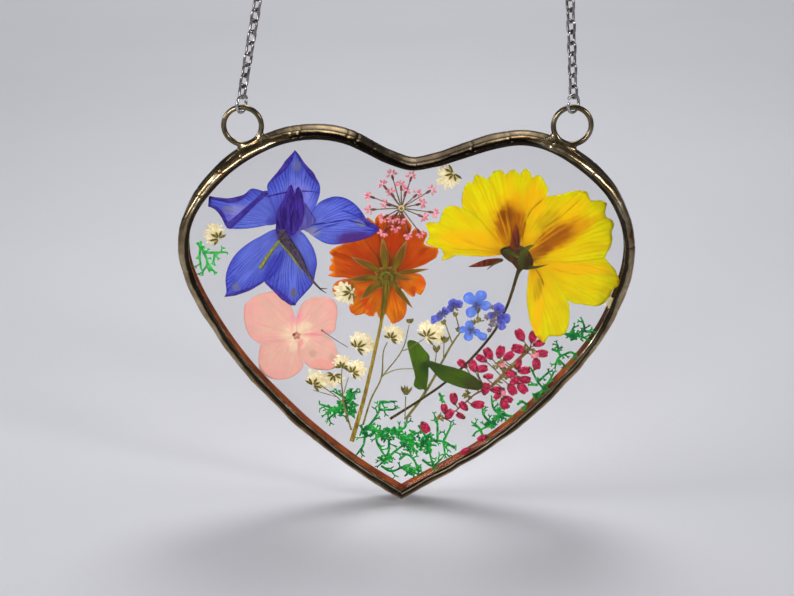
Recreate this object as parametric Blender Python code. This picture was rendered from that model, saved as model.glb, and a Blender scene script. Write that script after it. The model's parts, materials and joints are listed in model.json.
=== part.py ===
"""Heart-shaped suncatcher: pressed flowers between two glass sheets, foiled, soldered and hung on chain.

The panel stands upright in the XZ plane and faces -Y. The origin is where it hangs, between the
two rings at the tops of the chains. Outlines are (x, z) points in millimetres, measured from a
point inside the heart that lies straight below the origin. Sizes are in metres.
"""

import math

import bmesh
import bpy
from mathutils import Vector

MM = 0.001

# Heights above the heart's own middle
RING_Z = 0.0501
HANG_Z = 0.0967

# Glass sandwich, from the middle outwards
CAVITY_HALF = 0.00095
GLASS_THICK = 0.0019
FOIL_GAP = 0.0001
FOIL_THICK = 0.0002
SOLDER_GAP = 0.0001
SOLDER_CROWN = 0.0005

# Edge of the sandwich, from the outside inwards
SOLDER_WALL = 0.0009
FOIL_INSET = 0.0010
GLASS_INSET = 0.0013
FOIL_LIP_INSET = 0.0032
SOLDER_LIP_INSET = 0.0029
EDGE_POINTS = 60

# Soldered rings, jump rings and the rings at the tops of the chains
RING_X = 0.0415
RING_RADIUS = 0.00475
RING_WIRE = 0.00065
RING_SEAT_GAP = 0.0003
JUMP_RADIUS = 0.0022
JUMP_WIRE = 0.0004
JUMP_LIFT = 0.00085
JUMP_TURN = math.radians(45)
TOP_RING_RADIUS = 0.00395
TOP_RING_WIRE = 0.00055

# Chains
CHAIN_RADIUS = 0.0013
CHAIN_LOW_Z = 0.0586
CHAIN_HIGH_Z = 0.0885
CHAIN_POINTS = 7
CHAIN_LEGS = {
    "left": {"low_x": -0.0409, "high_x": -0.0357, "ring_x": -0.0350},
    "right": {"low_x": 0.0412, "high_x": 0.0394, "ring_x": 0.0391},
}
TOP_RING_Z = 0.0933

# Pressed plants lie in thin layers, numbered from the front
LEAF_THICK = 0.00025
LAYER_PITCH = 0.00035
MIDDLE_LAYER = 2

HINGE_Z = RING_Z + RING_RADIUS
GLASS_MIDDLE = CAVITY_HALF + GLASS_THICK / 2
GLASS_FACE = CAVITY_HALF + GLASS_THICK
FOIL_INNER = GLASS_FACE + FOIL_GAP
FOIL_OUTER = FOIL_INNER + FOIL_THICK
SOLDER_INNER = FOIL_OUTER + SOLDER_GAP
SOLDER_OUTER = SOLDER_INNER + SOLDER_CROWN

# The hand-cut heart, clockwise from its tip, which is its one corner
HEART = [
    (-1.5, -54), (-14, -45.2), (-26.5, -34.8), (-35, -26), (-43.5, -16), (-51.5, -3.7), (-57.5, 9),
    (-59.2, 19), (-56.8, 28.5), (-50.5, 37), (-43, 43.4), (-33, 48.2), (-23, 49.7), (-14, 48.1),
    (-5, 43.2), (1.5, 41.1), (8, 42.4), (18, 46), (28, 48.2), (37, 46.4), (46.5, 40.6), (54, 32.8),
    (58.4, 22), (58.3, 10.5), (52.5, -5.5), (42.5, -19.5), (31.5, -31.3), (20, -40.5),
]

# Whole petals, leaves and florets: layer, colour and outline
PETALS = {
    "larkspur_sepal_top": (1, "violet", [
        (-28.5, 44), (-31.5, 39.5), (-35.3, 35.5), (-35, 31.5), (-32.5, 27.5), (-29.5, 23.5),
        (-26, 25), (-23.5, 29), (-22.2, 34.5), (-25, 40)]),
    "larkspur_sepal_left": (2, "violet", [
        (-50.7, 32), (-51, 29.2), (-48.5, 27.5), (-46.5, 23.5), (-41, 23.6), (-34.8, 24.2),
        (-33.5, 27), (-36, 32.6), (-39.5, 33.7), (-44.5, 30.7)]),
    "larkspur_sepal_right": (2, "violet", [
        (-25, 22), (-24, 28.6), (-19, 31.5), (-14.5, 30.5), (-11, 27), (-7.3, 23), (-9.8, 20.3),
        (-14.5, 19), (-19, 19), (-23, 20.8)]),
    "larkspur_sepal_lower_left": (1, "violet", [
        (-34, 22.3), (-40, 19.5), (-45, 15.5), (-47, 10.5), (-47.5, 4.5), (-43, 6), (-37.3, 8.5),
        (-33.5, 15)]),
    "larkspur_sepal_lower_right": (2, "violet", [
        (-31, 21.5), (-26.8, 20), (-23.5, 15.5), (-24, 10), (-27, 5.5), (-29, 2), (-32, 3.4),
        (-34.5, 5.5), (-37, 9), (-34, 15)]),
    "larkspur_petals": (0, "dark_violet", [
        (-32.8, 22), (-33.6, 26.5), (-32.3, 31), (-29.6, 35), (-28.7, 33.4), (-27.6, 34.6),
        (-24.6, 28.5), (-24.3, 24.3), (-29, 22.4)]),
    "orange_petal_left": (3, "orange", [
        (-7.5, 10), (-13, 7.8), (-20.5, 10), (-20.8, 13), (-20.3, 16.5), (-18, 18.6), (-13, 18.2),
        (-8, 13.5)]),
    "orange_petal_top": (4, "orange", [
        (-6.5, 11.2), (-12, 15), (-14.2, 20.5), (-10, 25.3), (-7.5, 26.5), (-3, 24.5), (-2.5, 17)]),
    "orange_petal_top_right": (3, "deep_orange", [
        (-4.8, 11), (-4, 17), (-3.5, 24), (1, 24.8), (5.5, 22.5), (8, 16.6), (4.2, 14.4), (0, 12)]),
    "orange_petal_lower_right": (4, "orange", [
        (-4.5, 9.5), (0.5, 10.5), (4.6, 12), (5, 8.5), (2.5, 5), (-1, 0.6), (-3.6, 4.5)]),
    "orange_petal_bottom": (3, "light_orange", [
        (-6, 8.6), (-7.8, 4), (-9.5, -0.5), (-4.5, -2.8), (-1.4, 0.2), (-1.6, 4), (-4.5, 7.5)]),
    "orange_petal_lower_left": (4, "light_orange", [
        (-7, 9), (-12, 6.8), (-16.5, 3.6), (-15.4, 1), (-11, -1.2), (-9, 3)]),
    "yellow_petal_left": (2, "yellow", [
        (24, 16), (19, 16.4), (12, 17.2), (9, 15.3), (8, 18), (4.5, 19.8), (4.5, 24), (9, 28.8),
        (14.5, 28), (20, 22.5)]),
    "yellow_petal_upper_left": (3, "yellow", [
        (24.4, 16.5), (17.5, 23), (13.8, 29), (14.2, 33), (16.8, 37.4), (20, 36.6), (23.5, 38.6),
        (27.5, 38.3), (30, 39), (34.5, 36.8), (35.5, 32), (29.5, 22)]),
    "yellow_petal_upper_right": (2, "yellow", [
        (27.5, 17.6), (28.2, 24), (33, 30), (39, 32), (43.5, 33.5), (46.2, 32.5), (47.2, 30.2),
        (51, 29.8), (53, 24), (52.3, 17), (46, 15), (36, 15.6)]),
    "yellow_petal_right": (3, "yellow", [
        (30, 14.8), (38, 14.2), (47, 14.4), (52, 13.8), (55.2, 9.2), (53, 3.6), (48.5, 2),
        (42.5, 2.6), (36, 7)]),
    "yellow_petal_lower": (2, "yellow", [
        (32.8, 12), (31.8, 1.5), (34, -6), (36.8, -8.6), (39.5, -7), (42, -6), (42.8, 1), (38, 7.5)]),
    "hydrangea_sepal_upper_left": (3, "pink", [
        (-29.4, -5.4), (-37, -7.8), (-42.6, -4), (-43.2, 2), (-38.5, 5.3), (-32.5, 5.2), (-29.8, 1)]),
    "hydrangea_sepal_upper_right": (4, "pink", [
        (-28.6, -5.4), (-29, 0.5), (-26, 4.2), (-21, 3.6), (-18.3, -0.5), (-19.2, -5), (-24, -6)]),
    "hydrangea_sepal_lower_left": (4, "pink", [
        (-29.4, -6.6), (-28, -12), (-28.4, -18), (-33, -19.8), (-38, -18.6), (-40.2, -13.5),
        (-37.5, -8.8)]),
    "hydrangea_sepal_lower_right": (3, "pink", [
        (-28.6, -6.6), (-22.5, -6), (-18.2, -9), (-18.2, -14), (-21.5, -17.2), (-26.5, -16.4)]),
    "forget_me_not_flowers_blue": (1, "sky_blue", [
        (17.6, 0.4), (15.6, 1.2), (14.2, 3.6), (16, 5.4), (18.4, 5), (20.2, 6), (22, 3.8), (20.8, 1.4),
        (20.2, -0.9), (19.6, -3), (20.6, -5.4), (18.6, -6.8), (15.6, -7.6), (13.4, -5.4), (14.2, -3.8),
        (16.6, -2.6), (18.2, -1.4)]),
    "forget_me_not_flower_left": (1, "lilac_blue", [
        (7, -1.8), (8.6, 0.6), (10.6, 3.2), (12.6, 4), (13, 2), (11.6, 0.2), (10.4, -1.8)]),
    "forget_me_not_flower_right": (1, "lilac_blue", [
        (22, 1.6), (24.8, 2.6), (26, 0.4), (27.6, -1.2), (25.4, -3), (23.2, -3.4), (21.6, -1.4)]),
    "leaf_upright": (1, "leaf_green", [
        (5, -22.6), (3, -18), (0.4, -12), (-0.6, -8.6), (1.6, -7.4), (4.4, -11), (5.6, -16),
        (6.4, -20)]),
    "leaf_across": (1, "leaf_green", [
        (7.2, -13.4), (11, -13.8), (16, -16.6), (20, -20.4), (14, -20.4), (9.4, -18.2)]),
}

# Round paper-white flowers: layer, centre and radius
WHITE_FLOWERS = {
    "babys_breath_flower_top_left": (3, (-49.5, 21.3), 3.1),
    "babys_breath_flower_top": (2, (10.6, 37), 3.3),
    "babys_breath_flower_on_orange": (1, (-16, 5.6), 2.9),
    "babys_breath_flower_middle": (2, (-12.4, -9.5), 3.3),
    "babys_breath_flower_centre": (2, (-4, -6), 2.9),
    "babys_breath_flower_right": (2, (6.4, -5.2), 3.5),
    "babys_breath_flower_low": (2, (-24.2, -19.3), 3),
}
WHITE_LOBES = 6

# Single stems: layer, colour, path and the widths at its ends
STEMS = {
    "larkspur_spur": (0, "grey_violet", [(-31.2, 20.4), (-28, 15.5), (-25, 10), (-21, 6)], 2.4, 0.5),
    "larkspur_pedicel": (0, "olive", [(-33.4, 18.6), (-35.6, 15.8), (-38.3, 12.6)], 1.0, 1.3),
    "orange_stem": (1, "straw", [(-5.9, 8.2), (-7, -1.5), (-11, -19), (-15.1, -37.2)], 1.1, 1.8),
    "yellow_stem": (2, "bark", [(29.2, 11.6), (25.6, -0.5), (16, -14), (7.5, -21.5), (-4.5, -30.5)],
                    1.4, 1.2),
}

# Star-shaped pieces: layer, colour, centre, tips and the radius of the waist between two tips
STARS = {
    "orange_calyx": (2, "olive", (-5.8, 10), 2.1, [
        (-14.6, 15.4), (-6.6, 19.8), (0, 19.4), (5.6, 12.2), (5, 6), (1.6, 2.2), (-5.4, 3), (-12.4, 4),
        (-15.4, 10)]),
    "yellow_calyx": (1, "dark_green", (28.4, 15.6), 2.6, [
        (16.2, 13), (24, 18.6), (27.6, 24.4), (32.4, 19), (36, 13.6), (27.6, 11.8)]),
}

# Branching pieces: layer, colour, stem width, kind of tip and branches, trunk first
SPRAYS = {
    "umbel": (1, "rose", 0.3, "floret", [
        [(-1.5, 29), tip] for tip in (
            (-4, 37.6), (1, 37.2), (-1.6, 34.4), (-6.2, 34.6), (2.4, 33), (6, 33.2), (3.6, 29.6),
            (6.6, 27.2), (3.4, 25.4), (3.2, 22.2), (0, 21.8), (-2.4, 24), (-5.8, 22.4), (-6, 26.2),
            (-9.4, 28.4), (-9.4, 32))]),
    "forget_me_not_stem": (3, "olive", 0.6, "plain", [
        [(0, -30.5), (5, -21.5), (10, -13), (14.4, -7.4), (15.8, -4.4)],
        [(10, -13), (9.6, -7), (8.2, -2.2)], [(14.4, -7.4), (18.6, -4.6), (19, 1)],
        [(9.6, -7), (12, 0.6)]]),
    "babys_breath_stem_left": (1, "olive", 0.5, "plain", [
        [(-16.4, -33.5), (-17.8, -27), (-18.4, -21)], [(-17.8, -27), (-23.2, -20.6)],
        [(-18.4, -21), (-15.6, -17.4)], [(-18.4, -21), (-20, -18.4)]]),
    "babys_breath_stem_right": (0, "olive", 0.5, "plain", [
        [(-12.2, -32), (-10, -25), (-7, -18.5), (-1.5, -10), (0.5, -2.8)],
        [(-7, -18.5), (-6.8, -12), (-5.4, -7.4)], [(-7, -18.5), (-2.4, -17), (1.6, -16.8)]]),
    "bud_sprig": (3, "crimson", 0.7, "bud", [
        [(11.4, -30.8), (16.5, -25.2), (22, -19.8), (27, -15.6), (31, -11.4), (34.4, -8.6)],
        [(31, -11.4), (30.4, -6.6)], [(31, -11.4), (35.6, -12)], [(27, -15.6), (25, -10.6)],
        [(27, -15.6), (31.6, -16.4)], [(22, -19.8), (19.6, -13)], [(22, -19.8), (28, -21.8)],
        [(16.5, -25.2), (14.8, -17.2)], [(16.5, -25.2), (22.4, -25.6)],
        [(11.4, -30.8), (9.8, -26.2)]]),
    "moss_low_left": (4, "moss_green", 0.9, "plain", [
        [(-17.6, -31.6), (-18, -28.4), (-17, -25.6), (-14.4, -23.4)],
        [(-18, -28.4), (-21, -27), (-22.8, -27.8)], [(-17, -25.6), (-19, -23)],
        [(-18, -28.4), (-15, -29.4), (-13.8, -28.4)]]),
    "moss_bottom": (4, "moss_green", 1.3, "plain", [
        [(-1.6, -47.8), (-2.4, -43), (-5, -38.6), (-9.6, -36), (-13, -36.4)],
        [(-5, -38.6), (-6, -33), (-3.4, -29)], [(-9.6, -36), (-12.4, -40.6)],
        [(-2.4, -43), (2.4, -40.4), (5, -36.4), (9.6, -34.4)], [(5, -36.4), (3, -31.6)],
        [(2.4, -40.4), (7.4, -41)], [(-2.4, -43), (-8, -43.4)], [(-6, -33), (-9.4, -31)]]),
    "moss_low_right": (4, "moss_green", 1, "plain", [
        [(17.4, -36.4), (21.4, -33.4), (25, -30.6), (27.8, -29.8)],
        [(21.4, -33.4), (21, -29), (19.6, -25.6)], [(25, -30.6), (24.6, -27)],
        [(21.4, -33.4), (24.6, -34.4)]]),
    "moss_top_right": (4, "moss_green", 0.9, "plain", [
        [(43, -14.4), (41.4, -12), (42.6, -8.4), (45.4, -6.4), (49, -6.8)],
        [(42.6, -8.4), (40.4, -7)], [(45.4, -6.4), (45.6, -3.4)], [(45.4, -6.4), (47.4, -4.4)],
        [(41.4, -12), (38.8, -11)]]),
}

# Tips as (along, across) points in millimetres, from the right of the stem round to its left
TIPS = {
    "plain": [(0, -0.2), (0, 0.2)],
    "floret": [(-0.9, -0.5), (0.3, -0.8), (0.8, 0), (0.3, 0.8), (-0.9, 0.5)],
    "bud": [(-0.8, -0.9), (0.6, -1.0), (1.5, 0), (0.6, 1.0), (-0.8, 0.9)],
}

# Base colour, roughness and metallic value of each finish
FINISHES = {
    "glass": ((0.86, 0.90, 0.90), 0.03, 0),
    "copper": ((0.62, 0.25, 0.10), 0.35, 1),
    "solder": ((0.16, 0.12, 0.07), 0.28, 1),
    "gunmetal": ((0.25, 0.25, 0.26), 0.35, 1),
    "violet": ((0.12, 0.14, 0.62), 0.6, 0),
    "dark_violet": ((0.07, 0.03, 0.20), 0.6, 0),
    "grey_violet": ((0.12, 0.09, 0.16), 0.6, 0),
    "orange": ((0.70, 0.13, 0.01), 0.6, 0),
    "deep_orange": ((0.55, 0.07, 0.01), 0.6, 0),
    "light_orange": ((0.78, 0.22, 0.02), 0.6, 0),
    "yellow": ((0.85, 0.60, 0.01), 0.6, 0),
    "pink": ((0.84, 0.50, 0.42), 0.6, 0),
    "sky_blue": ((0.13, 0.24, 0.80), 0.6, 0),
    "lilac_blue": ((0.16, 0.15, 0.60), 0.6, 0),
    "rose": ((0.75, 0.20, 0.25), 0.6, 0),
    "paper_white": ((0.84, 0.79, 0.62), 0.6, 0),
    "crimson": ((0.45, 0.01, 0.06), 0.6, 0),
    "leaf_green": ((0.05, 0.15, 0.02), 0.6, 0),
    "moss_green": ((0.01, 0.26, 0.04), 0.6, 0),
    "dark_green": ((0.06, 0.07, 0.03), 0.6, 0),
    "olive": ((0.18, 0.17, 0.03), 0.6, 0),
    "straw": ((0.28, 0.20, 0.05), 0.6, 0),
    "bark": ((0.06, 0.05, 0.02), 0.6, 0),
}


def clear_scene():
    for old in list(bpy.data.objects):
        bpy.data.objects.remove(old, do_unlink=True)


def finish(name, kind):
    color, roughness, metallic = FINISHES[kind]
    material = bpy.data.materials.new(name)
    material.use_nodes = True
    shader = material.node_tree.nodes["Principled BSDF"]
    shader.inputs["Base Color"].default_value = (*color, 1)
    shader.inputs["Roughness"].default_value = roughness
    shader.inputs["Metallic"].default_value = metallic
    material.diffuse_color = (*color, 1)
    return material


def new_object(name, shape, kind, parent, location=(0, 0, 0), smooth=False):
    bmesh.ops.recalc_face_normals(shape, faces=shape.faces)
    mesh = bpy.data.meshes.new(name)
    shape.to_mesh(mesh)
    shape.free()
    mesh.materials.append(finish(name, kind))
    if smooth:
        mesh.shade_smooth()
        mesh.set_sharp_from_angle(angle=math.radians(40))
    obj = bpy.data.objects.new(name, mesh)
    bpy.context.collection.objects.link(obj)
    obj.parent = parent
    obj.location = location
    return obj


def curve_point(before, start, end, after, t):
    """Catmull-Rom curve from start to end."""
    return (
        start * 2
        + (end - before) * t
        + (before * 2 - start * 5 + end * 4 - after) * t**2
        + (start * 3 - before - end * 3 + after) * t**3
    ) / 2


def smooth_loop(points, steps, corner=False):
    """Closed curve through the points, with a corner at the first point if asked."""
    count = len(points)
    loop = []
    for i in range(count):
        start, end = points[i], points[(i + 1) % count]
        before, after = points[i - 1], points[(i + 2) % count]
        if corner and i == 0:
            before = start * 2 - end
        if corner and i == count - 1:
            after = end * 2 - start
        loop += [curve_point(before, start, end, after, k / steps) for k in range(steps)]
    return loop


def smooth_path(points, steps):
    """Open curve through the points."""
    ends = [points[0] * 2 - points[1], *points, points[-1] * 2 - points[-2]]
    path = []
    for i in range(1, len(ends) - 2):
        path += [curve_point(*ends[i - 1:i + 3], k / steps) for k in range(steps)]
    return [*path, points[-1]]


def evenly(loop, count):
    """The same number of points at equal steps round a closed loop, keeping the first."""
    lengths = [(loop[(i + 1) % len(loop)] - loop[i]).length for i in range(len(loop))]
    step = sum(lengths) / count
    result, i, passed = [], 0, 0.0
    for k in range(count):
        target = k * step
        while passed + lengths[i] < target:
            passed += lengths[i]
            i += 1
        share = (target - passed) / lengths[i]
        result.append(loop[i].lerp(loop[(i + 1) % len(loop)], share))
    return result


def inset(loop, distance):
    """A clockwise loop moved inwards, mitred at its corners."""
    result = []
    for i, point in enumerate(loop):
        back = (point - loop[i - 1]).normalized()
        ahead = (loop[(i + 1) % len(loop)] - point).normalized()
        inward = Vector((back.y + ahead.y, -back.x - ahead.x)).normalized()
        square = Vector((ahead.y, -ahead.x))
        result.append(point + inward * (distance / inward.dot(square)))
    return result


def slab(outline, y_front, y_back):
    """Solid between two parallel faces with the same outline."""
    shape = bmesh.new()
    front = [shape.verts.new((p.x, y_front, p.y)) for p in outline]
    back = [shape.verts.new((p.x, y_back, p.y)) for p in outline]
    caps = [shape.faces.new(front), shape.faces.new(list(reversed(back)))]
    for i in range(len(outline)):
        j = (i + 1) % len(outline)
        shape.faces.new((front[i], back[i], back[j], front[j]))
    shape.normal_update()
    bmesh.ops.triangulate(shape, faces=caps, ngon_method="EAR_CLIP")
    return shape


def loft_ring(loops):
    """Closed tube whose sides run through the loops in turn and back to the first."""
    shape = bmesh.new()
    rows = [[shape.verts.new(p) for p in loop] for loop in loops]
    for row, following in zip(rows, rows[1:] + rows[:1]):
        for i in range(len(row)):
            j = (i + 1) % len(row)
            shape.faces.new((row[i], row[j], following[j], following[i]))
    return shape


def wire_ring(radius, wire, segments, sides, turn=0.0):
    """Ring of round wire, upright and facing -Y, then turned about Z."""
    loops = []
    for side in range(sides):
        around = math.tau * (side + 0.5) / sides
        distance = radius + wire * math.cos(around)
        depth = wire * math.sin(around)
        loop = []
        for segment in range(segments):
            angle = math.tau * segment / segments
            across = distance * math.sin(angle)
            loop.append((
                across * math.cos(turn) - depth * math.sin(turn),
                across * math.sin(turn) + depth * math.cos(turn),
                distance * math.cos(angle),
            ))
        loops.append(loop)
    return loft_ring(loops)


def plan(points, unit=MM):
    return [Vector(point) * unit for point in points]


def layer_faces(layer):
    middle = (layer - MIDDLE_LAYER) * LAYER_PITCH
    return middle - LEAF_THICK / 2, middle + LEAF_THICK / 2


def strip_outline(path, start_width, end_width):
    """Outline of a flat strip that tapers along a path."""
    left, right = [], []
    for i, point in enumerate(path):
        ahead = path[min(i + 1, len(path) - 1)] - path[max(i - 1, 0)]
        side = Vector((-ahead.y, ahead.x)).normalized()
        half = (start_width + (end_width - start_width) * i / (len(path) - 1)) / 2
        left.append(point + side * half)
        right.append(point - side * half)
    return left + right[::-1]


def star_outline(centre, waist, tips):
    """Pointed sepals spread round a centre."""
    tips = sorted(tips, key=lambda tip: math.atan2(tip.y - centre.y, tip.x - centre.x))
    outline = []
    for tip, following in zip(tips, tips[1:] + tips[:1]):
        start, end = tip - centre, following - centre
        middle = start.normalized() + end.normalized()
        reach = centre.lerp(tip, 0.55)
        side = Vector((-start.y, start.x)).normalized() * waist * 0.42
        outline += [reach - side, tip, reach + side, centre + middle.normalized() * waist]
    return outline


def branch_outline(branches, width, tip):
    """Outline walked round a branching stem. The first point of the first branch is the foot."""
    near = {}
    for branch in branches:
        for a, b in zip(branch, branch[1:]):
            near.setdefault(a, []).append(b)
            near.setdefault(b, []).append(a)

    def bearing(a, b):
        return math.atan2(b[1] - a[1], b[0] - a[0])

    foot = branches[0][0]
    here, ahead = foot, near[foot][0]
    outline, walked = [], set()
    while (here, ahead) not in walked:
        walked.add((here, ahead))
        back = bearing(ahead, here)
        turns = [((bearing(ahead, other) - back) % math.tau or math.tau, other) for other in near[ahead]]
        turn, following = min(turns)
        spot = Vector(ahead)
        if following == here:
            along = (spot - Vector(here)).normalized()
            across = Vector((-along.y, along.x))
            half = width / 2
            corners = [(0, -half), (0, half)] if ahead == foot or tip == "plain" else TIPS[tip]
            outline += [spot + along * u + across * v for u, v in corners]
        else:
            reach = min(width / 2 / math.sin(turn / 2), width * 1.5)
            aim = back + turn / 2
            outline.append(spot + Vector((math.cos(aim), math.sin(aim))) * reach)
        here, ahead = ahead, following
    return outline


def lobed_outline(centre, radius, lobes):
    """Round flower with a scalloped rim."""
    count = lobes * 2
    return [
        centre + Vector((math.cos(math.tau * i / count), math.sin(math.tau * i / count)))
        * radius * (1 if i % 2 else 0.84)
        for i in range(count)
    ]


def make_panel(pivot):
    """Glass, foil and solder, all following one outline."""
    place = (0, 0, -HINGE_Z)
    edge = evenly(smooth_loop(plan(HEART), 6, corner=True), EDGE_POINTS)
    glass_edge = inset(edge, GLASS_INSET)
    for name, side in (("glass_front", -1), ("glass_back", 1)):
        middle = side * GLASS_MIDDLE
        sheet = slab(glass_edge, middle - GLASS_THICK / 2, middle + GLASS_THICK / 2)
        new_object(name, sheet, "glass", pivot, place)

    foil_web = GLASS_INSET - FOIL_GAP
    foil_section = [
        (FOIL_INSET, -FOIL_OUTER), (FOIL_INSET, FOIL_OUTER),
        (FOIL_LIP_INSET, FOIL_OUTER), (FOIL_LIP_INSET, FOIL_INNER),
        (foil_web, FOIL_INNER), (foil_web, -FOIL_INNER),
        (FOIL_LIP_INSET, -FOIL_INNER), (FOIL_LIP_INSET, -FOIL_OUTER),
    ]
    half_bead = [
        (SOLDER_WALL, SOLDER_INNER), (SOLDER_LIP_INSET, SOLDER_INNER),
        (0.0025, SOLDER_OUTER - 0.0002), (0.0016, SOLDER_OUTER), (0.0007, SOLDER_OUTER - 0.0003),
        (0, SOLDER_OUTER - 0.0013),
    ]
    bead_section = half_bead + [(depth, -y) for depth, y in reversed(half_bead)]
    sections = (("copper_foil", foil_section, "copper"), ("solder_bead", bead_section, "solder"))
    made = {}
    for name, section, kind in sections:
        loops = [[(p.x, y, p.y) for p in inset(edge, depth)] for depth, y in section]
        made[name] = new_object(name, loft_ring(loops), kind, pivot, place)
    return made["solder_bead"]


def make_rings(pivot, bead):
    """The two soldered rings, each seated in a hollow in the bead."""
    for side, x in (("left", -RING_X), ("right", RING_X)):
        place = (x, 0, RING_Z - HINGE_Z)
        ring = wire_ring(RING_RADIUS, RING_WIRE, 28, 8)
        new_object(f"hanging_ring_{side}", ring, "solder", pivot, place, smooth=True)
        seat = wire_ring(RING_RADIUS, RING_WIRE + RING_SEAT_GAP, 28, 8)
        cutter = new_object(f"ring_seat_{side}", seat, "solder", pivot, place)
        cutter.hide_render = True
        cutter.display_type = "WIRE"
        cut = bead.modifiers.new(f"ring_seat_{side}", "BOOLEAN")
        cut.operation = "DIFFERENCE"
        cut.solver = "EXACT"
        cut.object = cutter


def make_chains(root):
    """Jump rings, chain legs and the rings that the legs hang from."""
    for side, leg in CHAIN_LEGS.items():
        x = math.copysign(RING_X, leg["low_x"])
        jump = wire_ring(JUMP_RADIUS, JUMP_WIRE, 20, 6, turn=JUMP_TURN)
        place = (x, 0, HINGE_Z + JUMP_LIFT - HANG_Z)
        new_object(f"jump_ring_{side}", jump, "gunmetal", root, place, smooth=True)
        top = wire_ring(TOP_RING_RADIUS, TOP_RING_WIRE, 24, 6)
        place = (leg["ring_x"], 0, TOP_RING_Z - HANG_Z)
        new_object(f"top_ring_{side}", top, "gunmetal", root, place, smooth=True)

        name = f"chain_{side}"
        curve = bpy.data.curves.new(name, "CURVE")
        curve.dimensions = "3D"
        curve.bevel_depth = CHAIN_RADIUS
        curve.bevel_resolution = 2
        curve.use_fill_caps = True
        spline = curve.splines.new("POLY")
        spline.points.add(CHAIN_POINTS - 1)
        low = Vector((leg["low_x"], 0, CHAIN_LOW_Z - HANG_Z))
        high = Vector((leg["high_x"], 0, CHAIN_HIGH_Z - HANG_Z))
        for i, point in enumerate(spline.points):
            point.co = (*low.lerp(high, i / (CHAIN_POINTS - 1)), 1)
        curve.materials.append(finish(name, "gunmetal"))
        chain = bpy.data.objects.new(name, curve)
        bpy.context.collection.objects.link(chain)
        chain.parent = root


def make_plants(pivot):
    """Every pressed plant piece as a thin solid in its own layer."""
    place = (0, 0, -HINGE_Z)

    def press(name, layer, kind, outline):
        new_object(name, slab(outline, *layer_faces(layer)), kind, pivot, place)

    for name, (layer, kind, points) in PETALS.items():
        press(name, layer, kind, smooth_loop(plan(points), 2))
    for name, (layer, centre, radius) in WHITE_FLOWERS.items():
        outline = lobed_outline(Vector(centre) * MM, radius * MM, WHITE_LOBES)
        press(name, layer, "paper_white", outline)
    for name, (layer, kind, points, start, end) in STEMS.items():
        path = smooth_path(plan(points), 3)
        press(name, layer, kind, strip_outline(path, start * MM, end * MM))
    for name, (layer, kind, centre, waist, tips) in STARS.items():
        outline = star_outline(Vector(centre) * MM, waist * MM, plan(tips))
        press(name, layer, kind, outline)
    for name, (layer, kind, width, tip, branches) in SPRAYS.items():
        outline = branch_outline(branches, width, tip)
        press(name, layer, kind, [point * MM for point in outline])


def main():
    clear_scene()
    root = bpy.data.objects.new("hang_point", None)
    pivot = bpy.data.objects.new("panel_pivot", None)
    for empty in (root, pivot):
        bpy.context.collection.objects.link(empty)
    pivot.parent = root
    pivot.location.z = HINGE_Z - HANG_Z
    bead = make_panel(pivot)
    make_rings(pivot, bead)
    make_chains(root)
    make_plants(pivot)


main()
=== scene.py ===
import json
import math
import random

import bpy
from mathutils import Matrix, Vector, noise


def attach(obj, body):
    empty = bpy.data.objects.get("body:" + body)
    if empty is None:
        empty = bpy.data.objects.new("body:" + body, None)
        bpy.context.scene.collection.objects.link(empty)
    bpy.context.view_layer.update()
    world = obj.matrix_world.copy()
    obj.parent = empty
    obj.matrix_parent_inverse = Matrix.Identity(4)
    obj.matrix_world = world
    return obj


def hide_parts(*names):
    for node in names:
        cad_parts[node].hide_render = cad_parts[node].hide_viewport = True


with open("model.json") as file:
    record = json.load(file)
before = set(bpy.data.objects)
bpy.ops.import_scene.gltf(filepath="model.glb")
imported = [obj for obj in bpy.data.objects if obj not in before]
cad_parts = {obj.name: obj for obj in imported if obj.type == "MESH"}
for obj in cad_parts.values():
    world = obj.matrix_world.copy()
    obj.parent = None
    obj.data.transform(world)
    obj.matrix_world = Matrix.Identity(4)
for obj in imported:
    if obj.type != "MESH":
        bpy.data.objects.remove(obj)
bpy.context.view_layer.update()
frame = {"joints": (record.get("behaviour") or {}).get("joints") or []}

mm = 0.001
hinge = frame["joints"][0]
hingeHeight = 54.85  # of the hinge above the heart's middle
heartZ = hinge["pos_m"][2] - hingeHeight * mm  # the heart's middle in the frame
layerStep = 0.35  # between two layers of pressed plants
middleLayer = 2


def place(x, z, y=0.0):  # millimetres from the heart's middle
    return Vector((x * mm, y * mm, z * mm + heartZ))


def layerY(layer):
    return (layer - middleLayer) * layerStep


def towards(angle):
    return Vector((math.cos(angle), math.sin(angle)))


def clamped(value, low=0, high=1):
    return min(high, max(low, value))


def placed(spot, angle, size):  # a copy's place, its turn seen from the front and its size
    turned = Matrix.Rotation(-angle, 4, "Y") @ Matrix.Diagonal((*size, 1))
    return Matrix.Translation(spot) @ turned


def pickOnly(*objects):
    bpy.ops.object.select_all(action="DESELECT")
    for obj in objects:
        obj.select_set(True)
    bpy.context.view_layer.objects.active = objects[0]


def tidyMesh(obj, merge=0.00001):
    pickOnly(obj)
    bpy.ops.object.mode_set(mode="EDIT")
    bpy.ops.mesh.select_all(action="SELECT")
    bpy.ops.mesh.remove_doubles(threshold=merge)
    bpy.ops.mesh.dissolve_degenerate(threshold=0.000002)
    bpy.ops.mesh.normals_make_consistent(inside=False)
    bpy.ops.object.mode_set(mode="OBJECT")


def useModifier(obj, kind, **settings):
    pickOnly(obj)
    modifier = obj.modifiers.new(kind.title(), kind)
    for key, value in settings.items():
        setattr(modifier, key, value)
    bpy.ops.object.modifier_apply(modifier=modifier.name)


def joinPieces(name, objects):
    pickOnly(*objects)
    if len(objects) > 1:
        bpy.ops.object.join()
    obj = bpy.context.view_layer.objects.active
    obj.name = name
    obj.data.name = name
    return obj


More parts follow.
